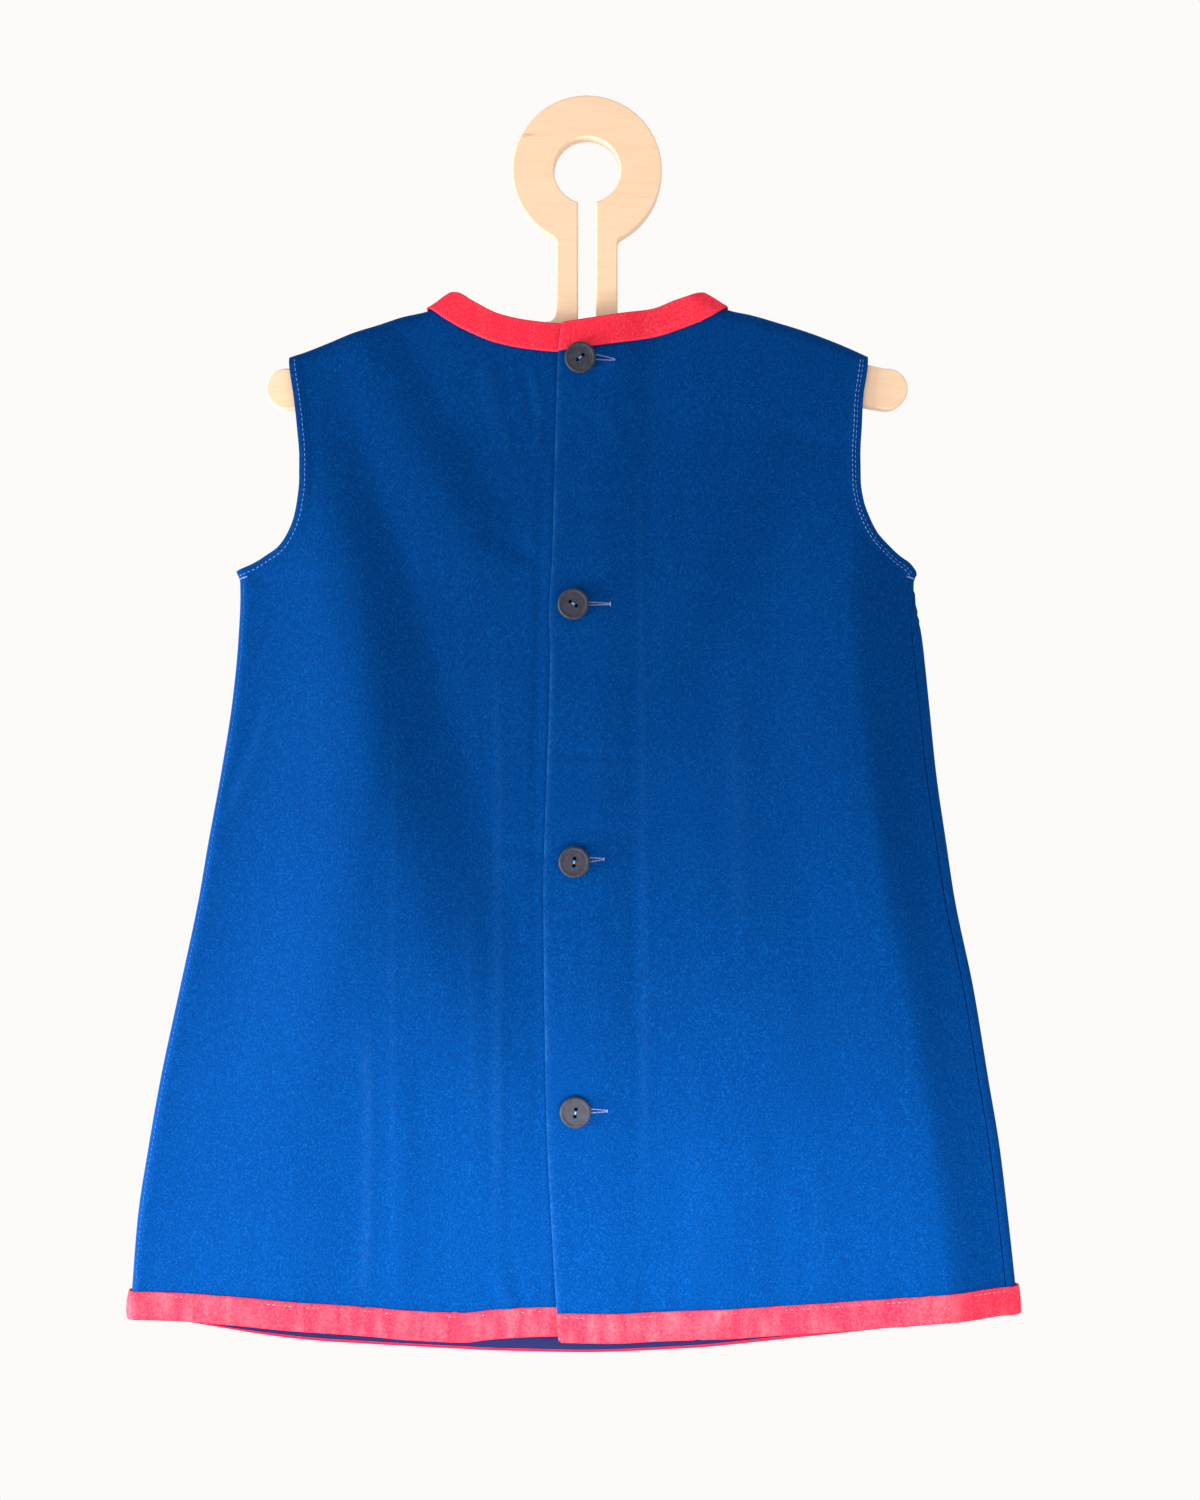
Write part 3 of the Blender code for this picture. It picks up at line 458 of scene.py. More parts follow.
def overlap_lift(across, drop):
    """How far the right half stands off where it lies over the left one."""
    under_edge = placket_at(drop) + OVERLAP
    fade = 1 - ease((across - under_edge) / OVERLAP_FADE)
    neck = 1 - ease((drop - NECK_RIGHT[0].foot_drop) / BAND_LIFT_FADE)
    hem = 1 - ease((hem_at["back_left"](across) - BAND_WIDTH - drop) / BAND_LIFT_FADE)
    return fade * (OVERLAP_GAP + WALL + BAND_LIFT * max(neck, hem))


def depth_right(across, drop):
    return cloth_depth("back", across, drop) + overlap_lift(across, drop)


class Face:
    """One side of the dress: its depth at a place, and which way it faces."""

    def __init__(self, depth, facing):
        self.depth = depth
        self.facing = facing

    def normal(self, across, drop):
        """The outward direction, with slopes taken towards the face's middle."""
        inward = 1 if across < 0 else -1
        here = self.depth(across, drop)
        slope_across = (self.depth(across + inward * STEP, drop) - here) / (inward * STEP)
        slope_drop = (self.depth(across, drop + STEP) - here) / STEP
        return Vector((-slope_across, self.facing, slope_drop)).normalized()

    def point(self, across, drop, proud=0):
        """A place on the face, no higher than the ridge, moved out along its normal."""
        drop = max(drop, ridge_drop(across) + STEP)
        depth = max(self.depth(across, drop), SEAM_GAP / 2)
        at = Vector((CENTRE + across, self.facing * depth, -drop))
        at += self.normal(across, drop) * proud
        if self.facing * at.y < SEAM_GAP / 2:
            at.y = self.facing * SEAM_GAP / 2
        return at


LEFT = Face(partial(cloth_depth, "back"), -1)
RIGHT = Face(depth_right, -1)
FRONT = Face(partial(cloth_depth, "front"), 1)


def neck_curve(rows, side):
    """A neckline by its length: the fold's place and the place of the band's foot."""
    Mark = namedtuple("Mark", "run out drop foot_out foot_drop")
    marks = [Mark(0, *rows[0])]
    for before, row in zip(rows, rows[1:]):
        step = math.hypot(row.out - before.out, row.drop - before.drop)
        marks.append(Mark(marks[-1].run + step, *row))
    out, drop, foot_out, foot_drop = (
        through(marks, "run", key) for key in ("out", "drop", "foot_out", "foot_drop"))

    def at(run):
        return (side * out(run), drop(run)), (side * foot_out(run), foot_drop(run))

    return at, marks[-1].run


def top_edge(neck, side, corner):
    """A half panel's top: the neckline as far as the corner's share, then the shoulder."""
    neckline, length = neck_curve(neck, side)
    start, end = SHOULDERS[0].out, SHOULDERS[-1].out

    def at(t):
        if t <= corner:
            s = t / corner
            return neckline(length * (s + NECK_CROWDING * s ** 3 * (1 - s)))[0]
        out = mix(start, end, ((t - corner) / (1 - corner)) ** SHOULDER_CROWDING)
        return side * out, ridge_at[side](out)

    return at


def outer_edge(side, peek=0, wrap=0):
    """A panel's armhole, then its side seam, from the shoulder down."""
    hem = HEMS[0].back_left if side < 0 else HEMS[-1].back_right

    def at(v):
        if v <= UNDERARM:
            t = v / UNDERARM
            drop = armhole_drop(t)
            out = armhole_at[side](drop) + peek * math.sin(math.pi * t * t)
        else:
            drop = mix(TIP_ROW, hem, (v - UNDERARM) / (1 - UNDERARM))
            out = seam_at[side](drop)
        return side * (out - wrap * side_wrap(drop)), drop

    return at


def placket_edge(name, first_drop, across):
    """A half's edge at the placket, moved across from the visible one."""
    last_drop = hem_at[name](PLACKET[-1].across + across)

    def at(v):
        drop = mix(first_drop, last_drop, v)
        return placket_at(drop) + across, drop

    return at


def hem_edge(name, start, end):
    return lambda t: (mix(start, end, t), hem_at[name](mix(start, end, t)))


def rows_down(coarse):
    """Shares down a panel: close at the shoulder, underarm and hem, even between."""
    armhole_rows, skirt_rows = ARMHOLE_ROWS // coarse, SKIRT_ROWS // coarse
    rows = [inset / PANEL_HEIGHT for inset in TOP_INSETS]
    start = rows[-1]
    rows += [mix(start, UNDERARM, (i + 1) / armhole_rows) for i in range(armhole_rows)]
    rows += [UNDERARM + inset / PANEL_HEIGHT for inset in UNDERARM_INSETS]
    start = rows[-1]
    rows += [mix(start, 1, (i + 1) / skirt_rows) for i in range(skirt_rows)]
    last = rows.pop()
    return rows + [last - 1.2 / PANEL_HEIGHT, last - 0.4 / PANEL_HEIGHT, last]


class Panel:
    """A cloth panel between four edges, with columns inset from its two sides."""

    def __init__(self, face, fine, count, left, right, wrap=None):
        self.face = face
        self.count = count * fine
        self.left = left
        self.right = right
        self.wrap = wrap
        self.columns = [("left", inset) for inset in left[:-1]]
        self.columns += [("even", i / self.count) for i in range(self.count + 1)]
        self.columns += [("right", inset) for inset in reversed(right[:-1])]

    def edges(self, first, last, hem):
        self.first = first
        self.last = last
        self.hem = hem

    def share(self, column, width):
        """A column's share of a row that is so wide."""
        kind, value = self.columns[column]
        if kind == "left":
            return value / width
        if kind == "right":
            return 1 - value / width
        return self.between(value, width)

    def between(self, share, width):
        """The row's share that a share of the even columns comes to."""
        return mix(self.left[-1] / width, 1 - self.right[-1] / width, share)

    def row_width(self, v):
        """The row's width, with what wraps round the side unrolled."""
        width = abs(self.last(v)[0] - self.first(v)[0])
        return width + (side_wrap(self.last(v)[1]) if self.wrap else 0)

    def corner(self, share):
        """The top row's share where the neckline ends, for a share of the even columns."""
        return self.between(share, self.row_width(0))

    def spot(self, u, v):
        """A place inside the four edges."""
        (a0, d0), (a1, d1) = self.first(v), self.last(v)
        place = [mix(a0, a1, u), mix(d0, d1, u)]
        for edge, weight in ((self.top, (1 - v) ** SHAPE_FADE), (self.hem, v ** SHAPE_FADE)):
            start, end, here = edge(0), edge(1), edge(u)
            for i in (0, 1):
                place[i] += weight * (here[i] - mix(start[i], end[i], u))
        return place

    def flat_place(self, column, v):
        """The face that a column lies on at a row, with its place there."""
        width = self.row_width(v)
        run = self.share(column, width) * width
        flat = abs(self.last(v)[0] - self.first(v)[0])
        if run > flat:
            return self.wrap, self.spot(2 - run / flat, v)
        return self.face, self.spot(run / flat, v)


def worn_by(rub, away):
    return rub.pale * math.exp(-max(away, 0) / rub.fade)


def wear_at(face, across, drop):
    """How pale the cloth is worn: along creases, the placket's fold and the edges."""
    side, out = side_of(across), abs(across)
    rows = FRONT_CREASES if face is FRONT else BACK_CREASES
    worn = CREASE_RUB * sum(
        row.pale * profile_along(row, row.half_width, row.half_width, across, drop) ** 2
        for row in rows if row.pale)
    patchy = 0.65 + 0.6 * noisy(across / 8, drop / 14, 1.5)
    if face is RIGHT:
        worn += worn_by(FOLD_RUB, abs(across - placket_at(drop) - 0.4)) * patchy
    worn += worn_by(SIDE_RUB, edge_at(side, drop) - out) * patchy * ease((drop - TIP_ROW) / 10)
    if drop < TIP_ROW + 4:
        worn += worn_by(ARMHOLE_RUB, armhole_at[side](drop) - out) * patchy
        worn += worn_by(RIDGE_RUB, drop - ridge_drop(across)) * patchy
    return min(max(worn, 0), 1)


def lattice(name, columns, rows, places, wall, look):
    """A closed wall on a lattice; places(column, row) gives its outside, where the wall
    grows inwards from, and how worn it is, with painted light and shade on the hem band's
    puckers; its wrong side is marked for painted shade."""
    form = bmesh.new()
    across, down = columns - 1, rows - 1
    bmesh.ops.create_grid(form, x_segments=across, y_segments=down, size=0.5)
    bmesh.ops.scale(form, vec=(across, down, 1), verts=form.verts)
    bmesh.ops.translate(form, vec=(across / 2, down / 2, 0), verts=form.verts)
    grown = bmesh.ops.extrude_face_region(form, geom=form.faces[:])["geom"]
    lifted = [item for item in grown if isinstance(item, bmesh.types.BMVert)]
    bmesh.ops.translate(form, vec=(0, 0, 1), verts=lifted)
    bmesh.ops.recalc_face_normals(form, faces=form.faces)
    wear_and_shade_layer = form.verts.layers.float.new("wear_and_shade")
    known = {}
    for vert in form.verts:
        column, row, layer = (round(value) for value in vert.co)
        if (column, row) not in known:
            known[column, row] = places(column, row)
        outside, inwards, worn = known[column, row]
        vert.co = (outside + inwards * (wall * layer)) * MM
        # The wrong side takes the mark for painted shade.
        vert[wear_and_shade_layer] = worn if layer == 0 else WRONG_SIDE_SHADE
    if form.calc_volume(signed=True) < 0:
        bmesh.ops.reverse_faces(form, faces=form.faces)
    return finished(name, form, look)


def panel_piece(name, panel, coarse):
    rows = rows_down(coarse)

    def places(column, row):
        face, (across, drop) = panel.flat_place(column, rows[row])
        outside = face.point(across, drop)
        inside = face.point(across, drop, -WALL)
        return outside, (inside - outside) / WALL, wear_at(face, across, drop)

    return lattice(name, len(panel.columns), len(rows), places, WALL, "navy_twill")


def back_left_panel():
    """The half that carries the buttons; its edge runs on under the other half."""
    count = BACK_NECK_COLUMNS + SHOULDER_COLUMNS
    panel = Panel(LEFT, FINE_BACK, count, FOLDED_INSETS, EDGE_INSETS)
    first = placket_edge("back_left", NECK_LEFT[0].drop, OVERLAP)
    panel.edges(first, outer_edge(-1), hem_edge("back_left", first(1)[0], HEMS[0].across))
    panel.top = top_edge(NECK_LEFT, -1, panel.corner(BACK_NECK_COLUMNS / count))
    return panel


def back_right_panel():
    """The half with the buttonholes, on top at the placket."""
    count = BACK_NECK_COLUMNS + SHOULDER_COLUMNS
    panel = Panel(RIGHT, FINE_BACK, count, FOLDED_INSETS, SEAM_INSETS)
    first = placket_edge("back_right", NECK_RIGHT[0].drop, 0)
    edge = outer_edge(1, wrap=1)

    def last(v):
        across, drop = edge(v)
        return across - SEAM_SETBACK, drop

    panel.edges(first, last, hem_edge("back_right", first(1)[0], last(1)[0]))
    panel.top = top_edge(NECK_RIGHT, 1, panel.corner(BACK_NECK_COLUMNS / count))
    return panel


def front_panel():
    """The whole front, which comes round the right side to its seam on the back."""
    count = 2 * (FRONT_NECK_COLUMNS + SHOULDER_COLUMNS)
    panel = Panel(FRONT, FINE_FRONT, count, EDGE_INSETS, WRAP_INSETS, wrap=RIGHT)
    first, last = outer_edge(-1, ARMHOLE_PEEK), outer_edge(1, ARMHOLE_PEEK)
    panel.edges(first, last, hem_edge("front", HEMS[0].across, HEMS[-1].across))
    left_corner = panel.corner(SHOULDER_COLUMNS / count)
    right_corner = panel.corner(1 - SHOULDER_COLUMNS / count)
    middle = (left_corner + right_corner) / 2
    left = top_edge(NECK_FRONT, -1, (middle - left_corner) / middle)
    right = top_edge(NECK_FRONT, 1, (right_corner - middle) / (1 - middle))

    def top(t):
        if t < middle:
            return left(1 - t / middle)
        return right((t - middle) / (1 - middle))

    panel.top = top
    return panel


def neck_band_gap(across, drop):
    """How far the neckline band lies off the cloth: more where it rounds the ridge."""
    below = drop - ridge_drop(across)
    return LAID_GAP + RIDGE_CLEAR * (1 - ease(below / RIDGE_CLEAR_FADE))


def neck_band():
    """The band along the whole neckline, from under the placket round to its edge."""
    stretches = (
        (LEFT, NECK_LEFT, -1, False),
        (FRONT, NECK_FRONT, -1, True),
        (FRONT, NECK_FRONT, 1, False),
        (RIGHT, NECK_RIGHT, 1, True),
    )
    path = []
    for face, rows, side, from_corner in stretches:
        curve, length = neck_curve(rows, side)
        runs = [length - inset for inset in CORNER_INSETS]
        even = math.ceil(runs[-1] / BAND_SPACING)
        runs += [runs[-1] * (1 - (i + 1) / even) for i in range(even)]
        if not from_corner:
            runs.reverse()
        spots = [(face, *curve(run)) for run in runs]
        path += spots[1:] if path else spots

    def places(column, row):
        face, (across, drop), (foot_across, foot_drop) = path[column]
        t = NECK_BAND_ROWS[row]
        t -= (1 - t) * BAND_ROLL / BAND_WIDTH
        across, drop = mix(across, foot_across, t), mix(drop, foot_drop, t)
        gap = neck_band_gap(across, drop)
        puffed = NECK_PUFF * math.sin(math.pi * min(max(t, 0), 1)) ** 0.5
        outside = face.point(across, drop, gap + BAND_WALL + puffed)
        inside = face.point(across, drop, gap)
        return outside, (inside - outside) / BAND_WALL, BAND_WORN * abs(2 * t - 1) ** 6

    return lattice("neck_band", len(path), len(NECK_BAND_ROWS), places, BAND_WALL, "red_cotton")


def hem_band(left, front, right):
    """The band round the whole hem, from under the placket round to its edge."""
    path = [(left, column) for column in range(len(left.columns))]
    path += [(front, column) for column in range(1, len(front.columns))]
    path += [(right, column) for column in reversed(range(len(right.columns) - 1))]
    top = 1 - BAND_WIDTH / PANEL_HEIGHT

    def places(column, row):
        panel, mark = path[column]
        t = HEM_BAND_ROWS[row]
        face, (across, drop) = panel.flat_place(mark, mix(1, top, t))
        puckers = noisy(across / 5, t * 0.5, FACE_SEED["front"])
        puckers += 0.8 * noisy((across + 3 * t) / 11, t, FACE_SEED["back"])
        puffed = (BAND_PUFF + BAND_PUCKER * (0.5 + puckers)) * math.sin(math.pi * t) ** 0.5
        outside = face.point(across, drop, LAID_GAP + BAND_WALL + puffed)
        inside = face.point(across, drop, LAID_GAP)
        lower = 0
        if panel is front:
            from_seam = min(mark, len(front.columns) - 1 - mark) / len(front.columns)
            lower = FRONT_ROLL * ease(8 * from_seam - 0.5)
        for at in (outside, inside):
            at.z -= (BAND_ROLL + lower) * (1 - ease(4 * t))
            if panel is right and panel.columns[mark][0] == "left":
                inset = panel.columns[mark][1]
                at.z += (1 - turn(inset / CORNER_ROUND)) * CORNER_ROUND * (1 - ease(3 * t))
        # The puckers' tops are painted paler as highlight and their valleys darker as shade.
        return outside, (inside - outside) / BAND_WALL, BAND_WORN + PUCKER_HIGHLIGHT_AND_SHADE * puckers

    return lattice("hem_band", len(path), len(HEM_BAND_ROWS), places, BAND_WALL, "red_cotton")


def give(socket, value):
    """Gives a socket a value or an output to read."""
    if isinstance(value, bpy.types.NodeSocket):
        socket.id_data.links.new(value, socket)
    else:
        socket.default_value = value


def add(tree, kind, out, sockets=None, **settings):
    """An output of a new shader node with its settings and what its sockets are given."""
    node = tree.nodes.new("ShaderNode" + kind)
    for name, value in settings.items():
        setattr(node, name, value)
    for key, value in (sockets or {}).items():
        give(node.inputs[key], value)
    return node.outputs[out]


def blank(name):
    """A material with only a principled shader, and its tree."""
    made = bpy.data.materials.new(name)
    made.use_nodes = True
    return made, made.node_tree


def coated(made, sockets):
    """The material with what its shader's sockets are given."""
    shader = made.node_tree.nodes["Principled BSDF"]
    for key, value in sockets.items():
        give(shader.inputs[key], value)
    return made


def relief(height, strength, distance=0.0001):
    return add(height.id_data, "Bump", "Normal", {
        "Height": height, "Strength": strength, "Distance": distance})


def stretched(tree, scale=(1, 1, 1), turn_y=0):
    """Object coordinates scaled along each axis and turned about Y."""
    coords = add(tree, "TexCoord", "Object")
    return add(tree, "Mapping", "Vector", {
        "Vector": coords, "Scale": scale, "Rotation": (0, math.radians(turn_y), 0),
    })


def cloudy(tree, scale, low, high, along=(1, 1, 1), detail=3):
    """A soft noise that goes from 0 at low to 1 at high."""
    made = add(tree, "TexNoise", "Fac", {
        "Vector": stretched(tree, along), "Scale": scale, "Detail": detail})
    return add(tree, "MapRange", "Result", {
        "Value": made, "From Min": low, "From Max": high})


def blend(share, first, second):
    """first where share is 0, second where it is 1; 6, 7 and 2 are its colour sockets."""
    return add(share.id_data, "Mix", 2, {0: share, 6: first, 7: second}, data_type="RGBA")


def times(value, factor):
    return add(value.id_data, "Math", 0, {0: value, 1: factor}, operation="MULTIPLY")


def plus(value, other):
    return add(value.id_data, "Math", 0, {0: value, 1: other}, operation="ADD")


# Each weave's colours; wrong_side is painted shade, the dark taken by the wrong side and the hem
# band's pucker valleys.
Weave = namedtuple("Weave", "deep plain pale worn wrong_side twill streaky flecked")
WEAVES = {
    "navy_twill": Weave((0.0001, 0.032, 0.160, 1), (0.0002, 0.043, 0.205, 1),
                        (0.0015, 0.082, 0.335, 1), (0.0220, 0.145, 0.460, 1),
                        (0.0160, 0.020, 0.085, 1), 450, 0.10, 0.75),
    "red_cotton": Weave((0.860, 0.018, 0.050, 1), (0.940, 0.045, 0.080, 1),
                        (0.965, 0.120, 0.150, 1), (0.980, 0.240, 0.270, 1),
                        (0.860, 0.018, 0.050, 1), 620, 0.35, 0.30),
}


def woven(name):
    """Twill with a fine diagonal rib, heathered flecks, faint streaks and worn edges, with
    painted shade on its wrong side and painted light and shade on the hem band's puckers.
    """
    weave = WEAVES[name]
    made, tree = blank(name)
    rib = add(tree, "TexWave", "Fac", {
        "Vector": stretched(tree, turn_y=52), "Scale": weave.twill,
        "Distortion": 1.2, "Detail": 1, "Detail Scale": 3})
    faded = times(cloudy(tree, 16, 0.30, 0.70), 0.35)
    colour = blend(faded, weave.plain, weave.deep)
    streaks = cloudy(tree, 130, 0.45, 0.75, (1, 1, 0.04))
    colour = blend(times(streaks, weave.streaky), colour, weave.pale)
    shade = cloudy(tree, 1000, 0.36, 0.60, (1, 1, 0.8), 4)
    colour = blend(times(shade, 0.9), colour, weave.deep)
    flecks = cloudy(tree, 1250, 0.50, 0.74, (1, 1, 0.8), 4)
    colour = blend(times(flecks, weave.flecked), colour, weave.pale)
    worn = add(tree, "Attribute", "Fac", attribute_name="wear_and_shade")
    # Paler for rubbed cloth, and as painted highlight on the hem band's pucker tops.
    rubbed = times(worn, plus(times(cloudy(tree, 420, 0.3, 0.7), 0.8), 0.3))
    colour = blend(rubbed, colour, weave.worn)
    # Painted shade: the wrong side and the hem band's pucker valleys are darkened as if in
    # shadow.
    colour = blend(times(worn, 1 / WRONG_SIDE_SHADE), colour, weave.wrong_side)
    height = plus(rib, times(flecks, 0.8))
    return coated(made, {
        "Base Color": colour, "Normal": relief(height, 0.35),
        "Roughness": plus(times(flecks, 0.10), 0.85), "Specular IOR Level": 0.02})


def spun(name, thread):
    """Sewing thread with a fine twist."""
    made, tree = blank(name)
    twist = add(tree, "TexWave", "Fac", {"Vector": stretched(tree, turn_y=35), "Scale": 900})
    return coated(made, {
        "Base Color": blend(twist, thread.dark, thread.colour), "Roughness": 0.6})


def birch():
    """Pale plywood: fine level grain, small knots, and plies on its cut edges."""
    made, tree = blank("birch_plywood")
    grain = cloudy(tree, 40, 0.30, 0.72, (0.7, 1, 9), 5)
    pores = cloudy(tree, 260, 0.58, 0.74, (0.35, 1, 8), 2)
    colour = blend(grain, (0.885, 0.605, 0.395, 1), (0.920, 0.660, 0.450, 1))
    colour = blend(times(pores, 0.35), colour, (0.810, 0.500, 0.310, 1))
    for x, z, long, high, strength in KNOTS:
        coords = add(tree, "TexCoord", "Object")
        moved = add(tree, "Mapping", "Vector", {
            "Vector": coords, "Scale": (1 / long, 25, 1 / high),
            "Location": (-x / long, 0, -z / high)})
        spot = add(tree, "TexGradient", "Fac", {"Vector": moved}, gradient_type="SPHERICAL")
        colour = blend(times(spot, strength), colour, (0.560, 0.270, 0.110, 1))
    plies = add(tree, "TexWave", "Fac", {
        "Vector": stretched(tree), "Scale": 235, "Distortion": 0.3}, bands_direction="Y")
    facing = add(tree, "SeparateXYZ", "Y", {0: add(tree, "TexCoord", "Normal")})
    face_on = add(tree, "Math", 0, {0: facing}, operation="ABSOLUTE")
    edge_on = add(tree, "MapRange", "Result", {
        "Value": face_on, "From Min": 0.6, "From Max": 0.3})
    ply = blend(plies, (0.640, 0.420, 0.290, 1), (0.860, 0.660, 0.500, 1))
    colour = blend(times(edge_on, 0.8), colour, ply)
    return coated(made, {
        "Base Color": colour, "Normal": relief(pores, 0.15),
        "Roughness": plus(times(grain, 0.12), 0.42)})


def button_plastic():
    """Matte black, faintly clouded, a little scuffed."""
    made, tree = blank("black_plastic")
    cloud = cloudy(tree, 420, 0.35, 0.75)
    colour = blend(cloud, (0.022, 0.024, 0.036, 1), (0.042, 0.045, 0.066, 1))
    scuffs = cloudy(tree, 2600, 0.62, 0.80, (1, 1, 1), 2)
    colour = blend(times(scuffs, 0.4), colour, (0.150, 0.155, 0.200, 1))
    return coated(made, {
        "Base Color": colour, "Normal": relief(scuffs, 0.2, 0.00008),
        "Roughness": plus(times(cloud, 0.14), 0.55), "Specular IOR Level": 0.25})


# Small dark marks in the hanger's grain, in metres
Knot = namedtuple("Knot", "x z long high strength")
KNOTS = [
    Knot(-0.0290, 0.0012, 0.0042, 0.0007, 0.80),
    Knot(-0.0312, 0.0003, 0.0020, 0.0005, 0.45),
    Knot(0.0335, -0.0052, 0.0014, 0.0005, 0.40),
    Knot(0.0275, -0.0300, 0.0060, 0.0006, 0.20),
]


def linked(name, data):
    """An object of the scene with the mesh, lamp or camera given."""
    thing = bpy.data.objects.new(name, data)
    bpy.context.scene.collection.objects.link(thing)
    return thing


def formed(name, form, material):
    """The form as an object of the scene, in its material."""
    mesh = bpy.data.meshes.new(name)
    form.to_mesh(mesh)
    form.free()
    mesh.materials.append(material)
    return linked(name, mesh)


def finished(name, form, look):
    """The form as a piece with its material, riding on the one body."""
    thing = formed(name, form, materials[look])
    thing.data.shade_smooth()
    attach(thing, "root")
    return thing


def stitch(form, middle, along, outward, length, thick):
    """One sewn stitch: a thin bead with its ends along the seam."""
    made = bmesh.ops.create_uvsphere(form, u_segments=6, v_segments=4, radius=0.5)["verts"]
    sideways = outward.cross(along).normalized()
    outward = along.cross(sideways).normalized()
    shape = Matrix((sideways * thick, outward * thick * 0.8, along * length)).transposed()
    placed = Matrix.Translation(middle) @ shape.to_4x4()
    bmesh.ops.transform(form, matrix=Matrix.Scale(MM, 4) @ placed, verts=made)


def stitched(name, lines, look):
    """Rows of stitches; each line is (places, stitch length, gap, thickness)."""
    whole = bmesh.new()
    for places, length, gap, thick in lines:
        form = bmesh.new()
        runs = [0]
        for before, after in zip(places, places[1:]):
            runs.append(runs[-1] + (after[0] - before[0]).length)
        count = int(runs[-1] / (length + gap))
        for n in range(count):
            middle = (n + 0.5) * runs[-1] / count
            i = min(bisect_right(runs, middle) - 1, len(places) - 2)
            t = (middle - runs[i]) / max(runs[i + 1] - runs[i], 1e-6)
            here = places[i][0].lerp(places[i + 1][0], t)
            along = (places[i + 1][0] - places[i][0]).normalized()
            stitch(form, here, along, places[i][1], length, thick)
        part = bpy.data.meshes.new("row")
        form.to_mesh(part)
        form.free()
        whole.from_mesh(part)
        bpy.data.meshes.remove(part)
    return finished(name, whole, look)


def on_face(face, across, drop, proud):
    return face.point(across, drop, proud), face.normal(across, drop)


def armhole_row(face, side, inset, proud=0.12):
    """Places along the armhole, so far in from its edge."""
    places = []
    for i in range(1, ARMHOLE_MARKS):
        drop = armhole_drop(i / ARMHOLE_MARKS)
        slope = armhole_at[side](drop + 0.5) - armhole_at[side](drop - 0.5)
        reach = math.hypot(1, slope)
        out = armhole_at[side](drop) - inset / reach
        places.append(on_face(face, side * out, drop + inset * slope / reach, proud))
    return places


def side_row(face, side, inset, start, end, proud=0.1):
    """Places down a side seam, so far in from the side."""
    rows = [mix(start, end, i / SIDE_MARKS) for i in range(SIDE_MARKS + 1)]
    return [on_face(face, side * (edge_at(side, drop) - inset), drop, proud) for drop in rows]


def hem_row(panel):
    """Places along a panel's part of the hem band, for its stitches."""
    marks = range(0, len(panel.columns), 3)
    v = mix(1, 1 - BAND_WIDTH / PANEL_HEIGHT, HEM_STITCHES_AT)
    places = []
    for column in reversed(marks) if panel is back_right else marks:
        face, (across, drop) = panel.flat_place(column, v)
        places.append(on_face(face, across, drop, LAID_GAP + BAND_WALL + 0.20))
    return places


def neck_row(face, rows, side):
    """Places along one stretch of the neckline band, for its stitches."""
    curve, length = neck_curve(rows, side)
    places = []
    for i in range(NECK_MARKS + 1):
        (across, drop), (foot_across, foot_drop) = curve((length - 1) * i / NECK_MARKS)
        across = mix(across, foot_across, NECK_STITCHES_AT)
        drop = mix(drop, foot_drop, NECK_STITCHES_AT)
        proud = neck_band_gap(across, drop) + (BAND_WALL + 0.16)
        places.append(on_face(face, across, drop, proud))
    return places


# Each buttonhole from under its button to its far end; mouth is how far its lips part
Buttonhole = namedtuple("Buttonhole", "start end drop fall mouth bar")
BUTTONHOLES = [
    Buttonhole(7, 18.2, 110.6, 1.4, 2.2, 0.8),
    Buttonhole(4, 16, 233.7, 0.2, 1, 2.6),
    Buttonhole(4.5, 12.8, 360.6, -0.4, 1.6, 1.8),
    Buttonhole(5, 14.4, 484.6, 0.1, 1.5, 1.8),
]


def buttonholes():
    """Each hole's two close-stitched lips and the bar at its end."""
    form = bmesh.new()
    chance = random.Random(4)
    for hole in BUTTONHOLES:
        count = int((hole.end - hole.start) / LIP_SPACING)
        for n in range(count):
            t = n / (count - 1)
            across = mix(hole.start, hole.end, t)
            for lip in (-1, 1):
                apart = 0.25 + hole.mouth * 0.5 * (1 - t) ** 0.7
                drop = hole.drop + hole.fall * t + lip * apart
                at, outward = on_face(RIGHT, across + chance.uniform(-0.06, 0.06), drop, 0.16)
                stitch(form, at, Vector((chance.uniform(-0.2, 0.2), 0, 1)).normalized(),
                       outward, 0.72, 0.36)
        for n in range(3):
            at, outward = on_face(RIGHT, hole.end + 0.15 + 0.16 * n, hole.drop + hole.fall, 0.22)
            stitch(form, at, Vector((0, 0, 1)), outward, hole.bar, 0.32)
    return finished("buttonholes", form, "buttonhole_thread")


def bar_tacks():
    """Short whitish bars where the armholes end at the side seams."""
    form = bmesh.new()
    chance = random.Random(7)
    for face, side in ((LEFT, -1), (RIGHT, 1), (FRONT, -1), (FRONT, 1)):
        for n in range(11):
            t = n / 10
            out = seam_at[side](TACK_DROP) - 1 - 4 * t
            at, outward = on_face(face, side * out, TACK_DROP + 1.2 - 1.2 * t, 0.16)
            lean = Vector((chance.uniform(-0.3, 0.3), 0, 1)).normalized()
            stitch(form, at, lean, outward, 0.9, 0.36)
    return finished("bar_tacks", form, "pale_thread")


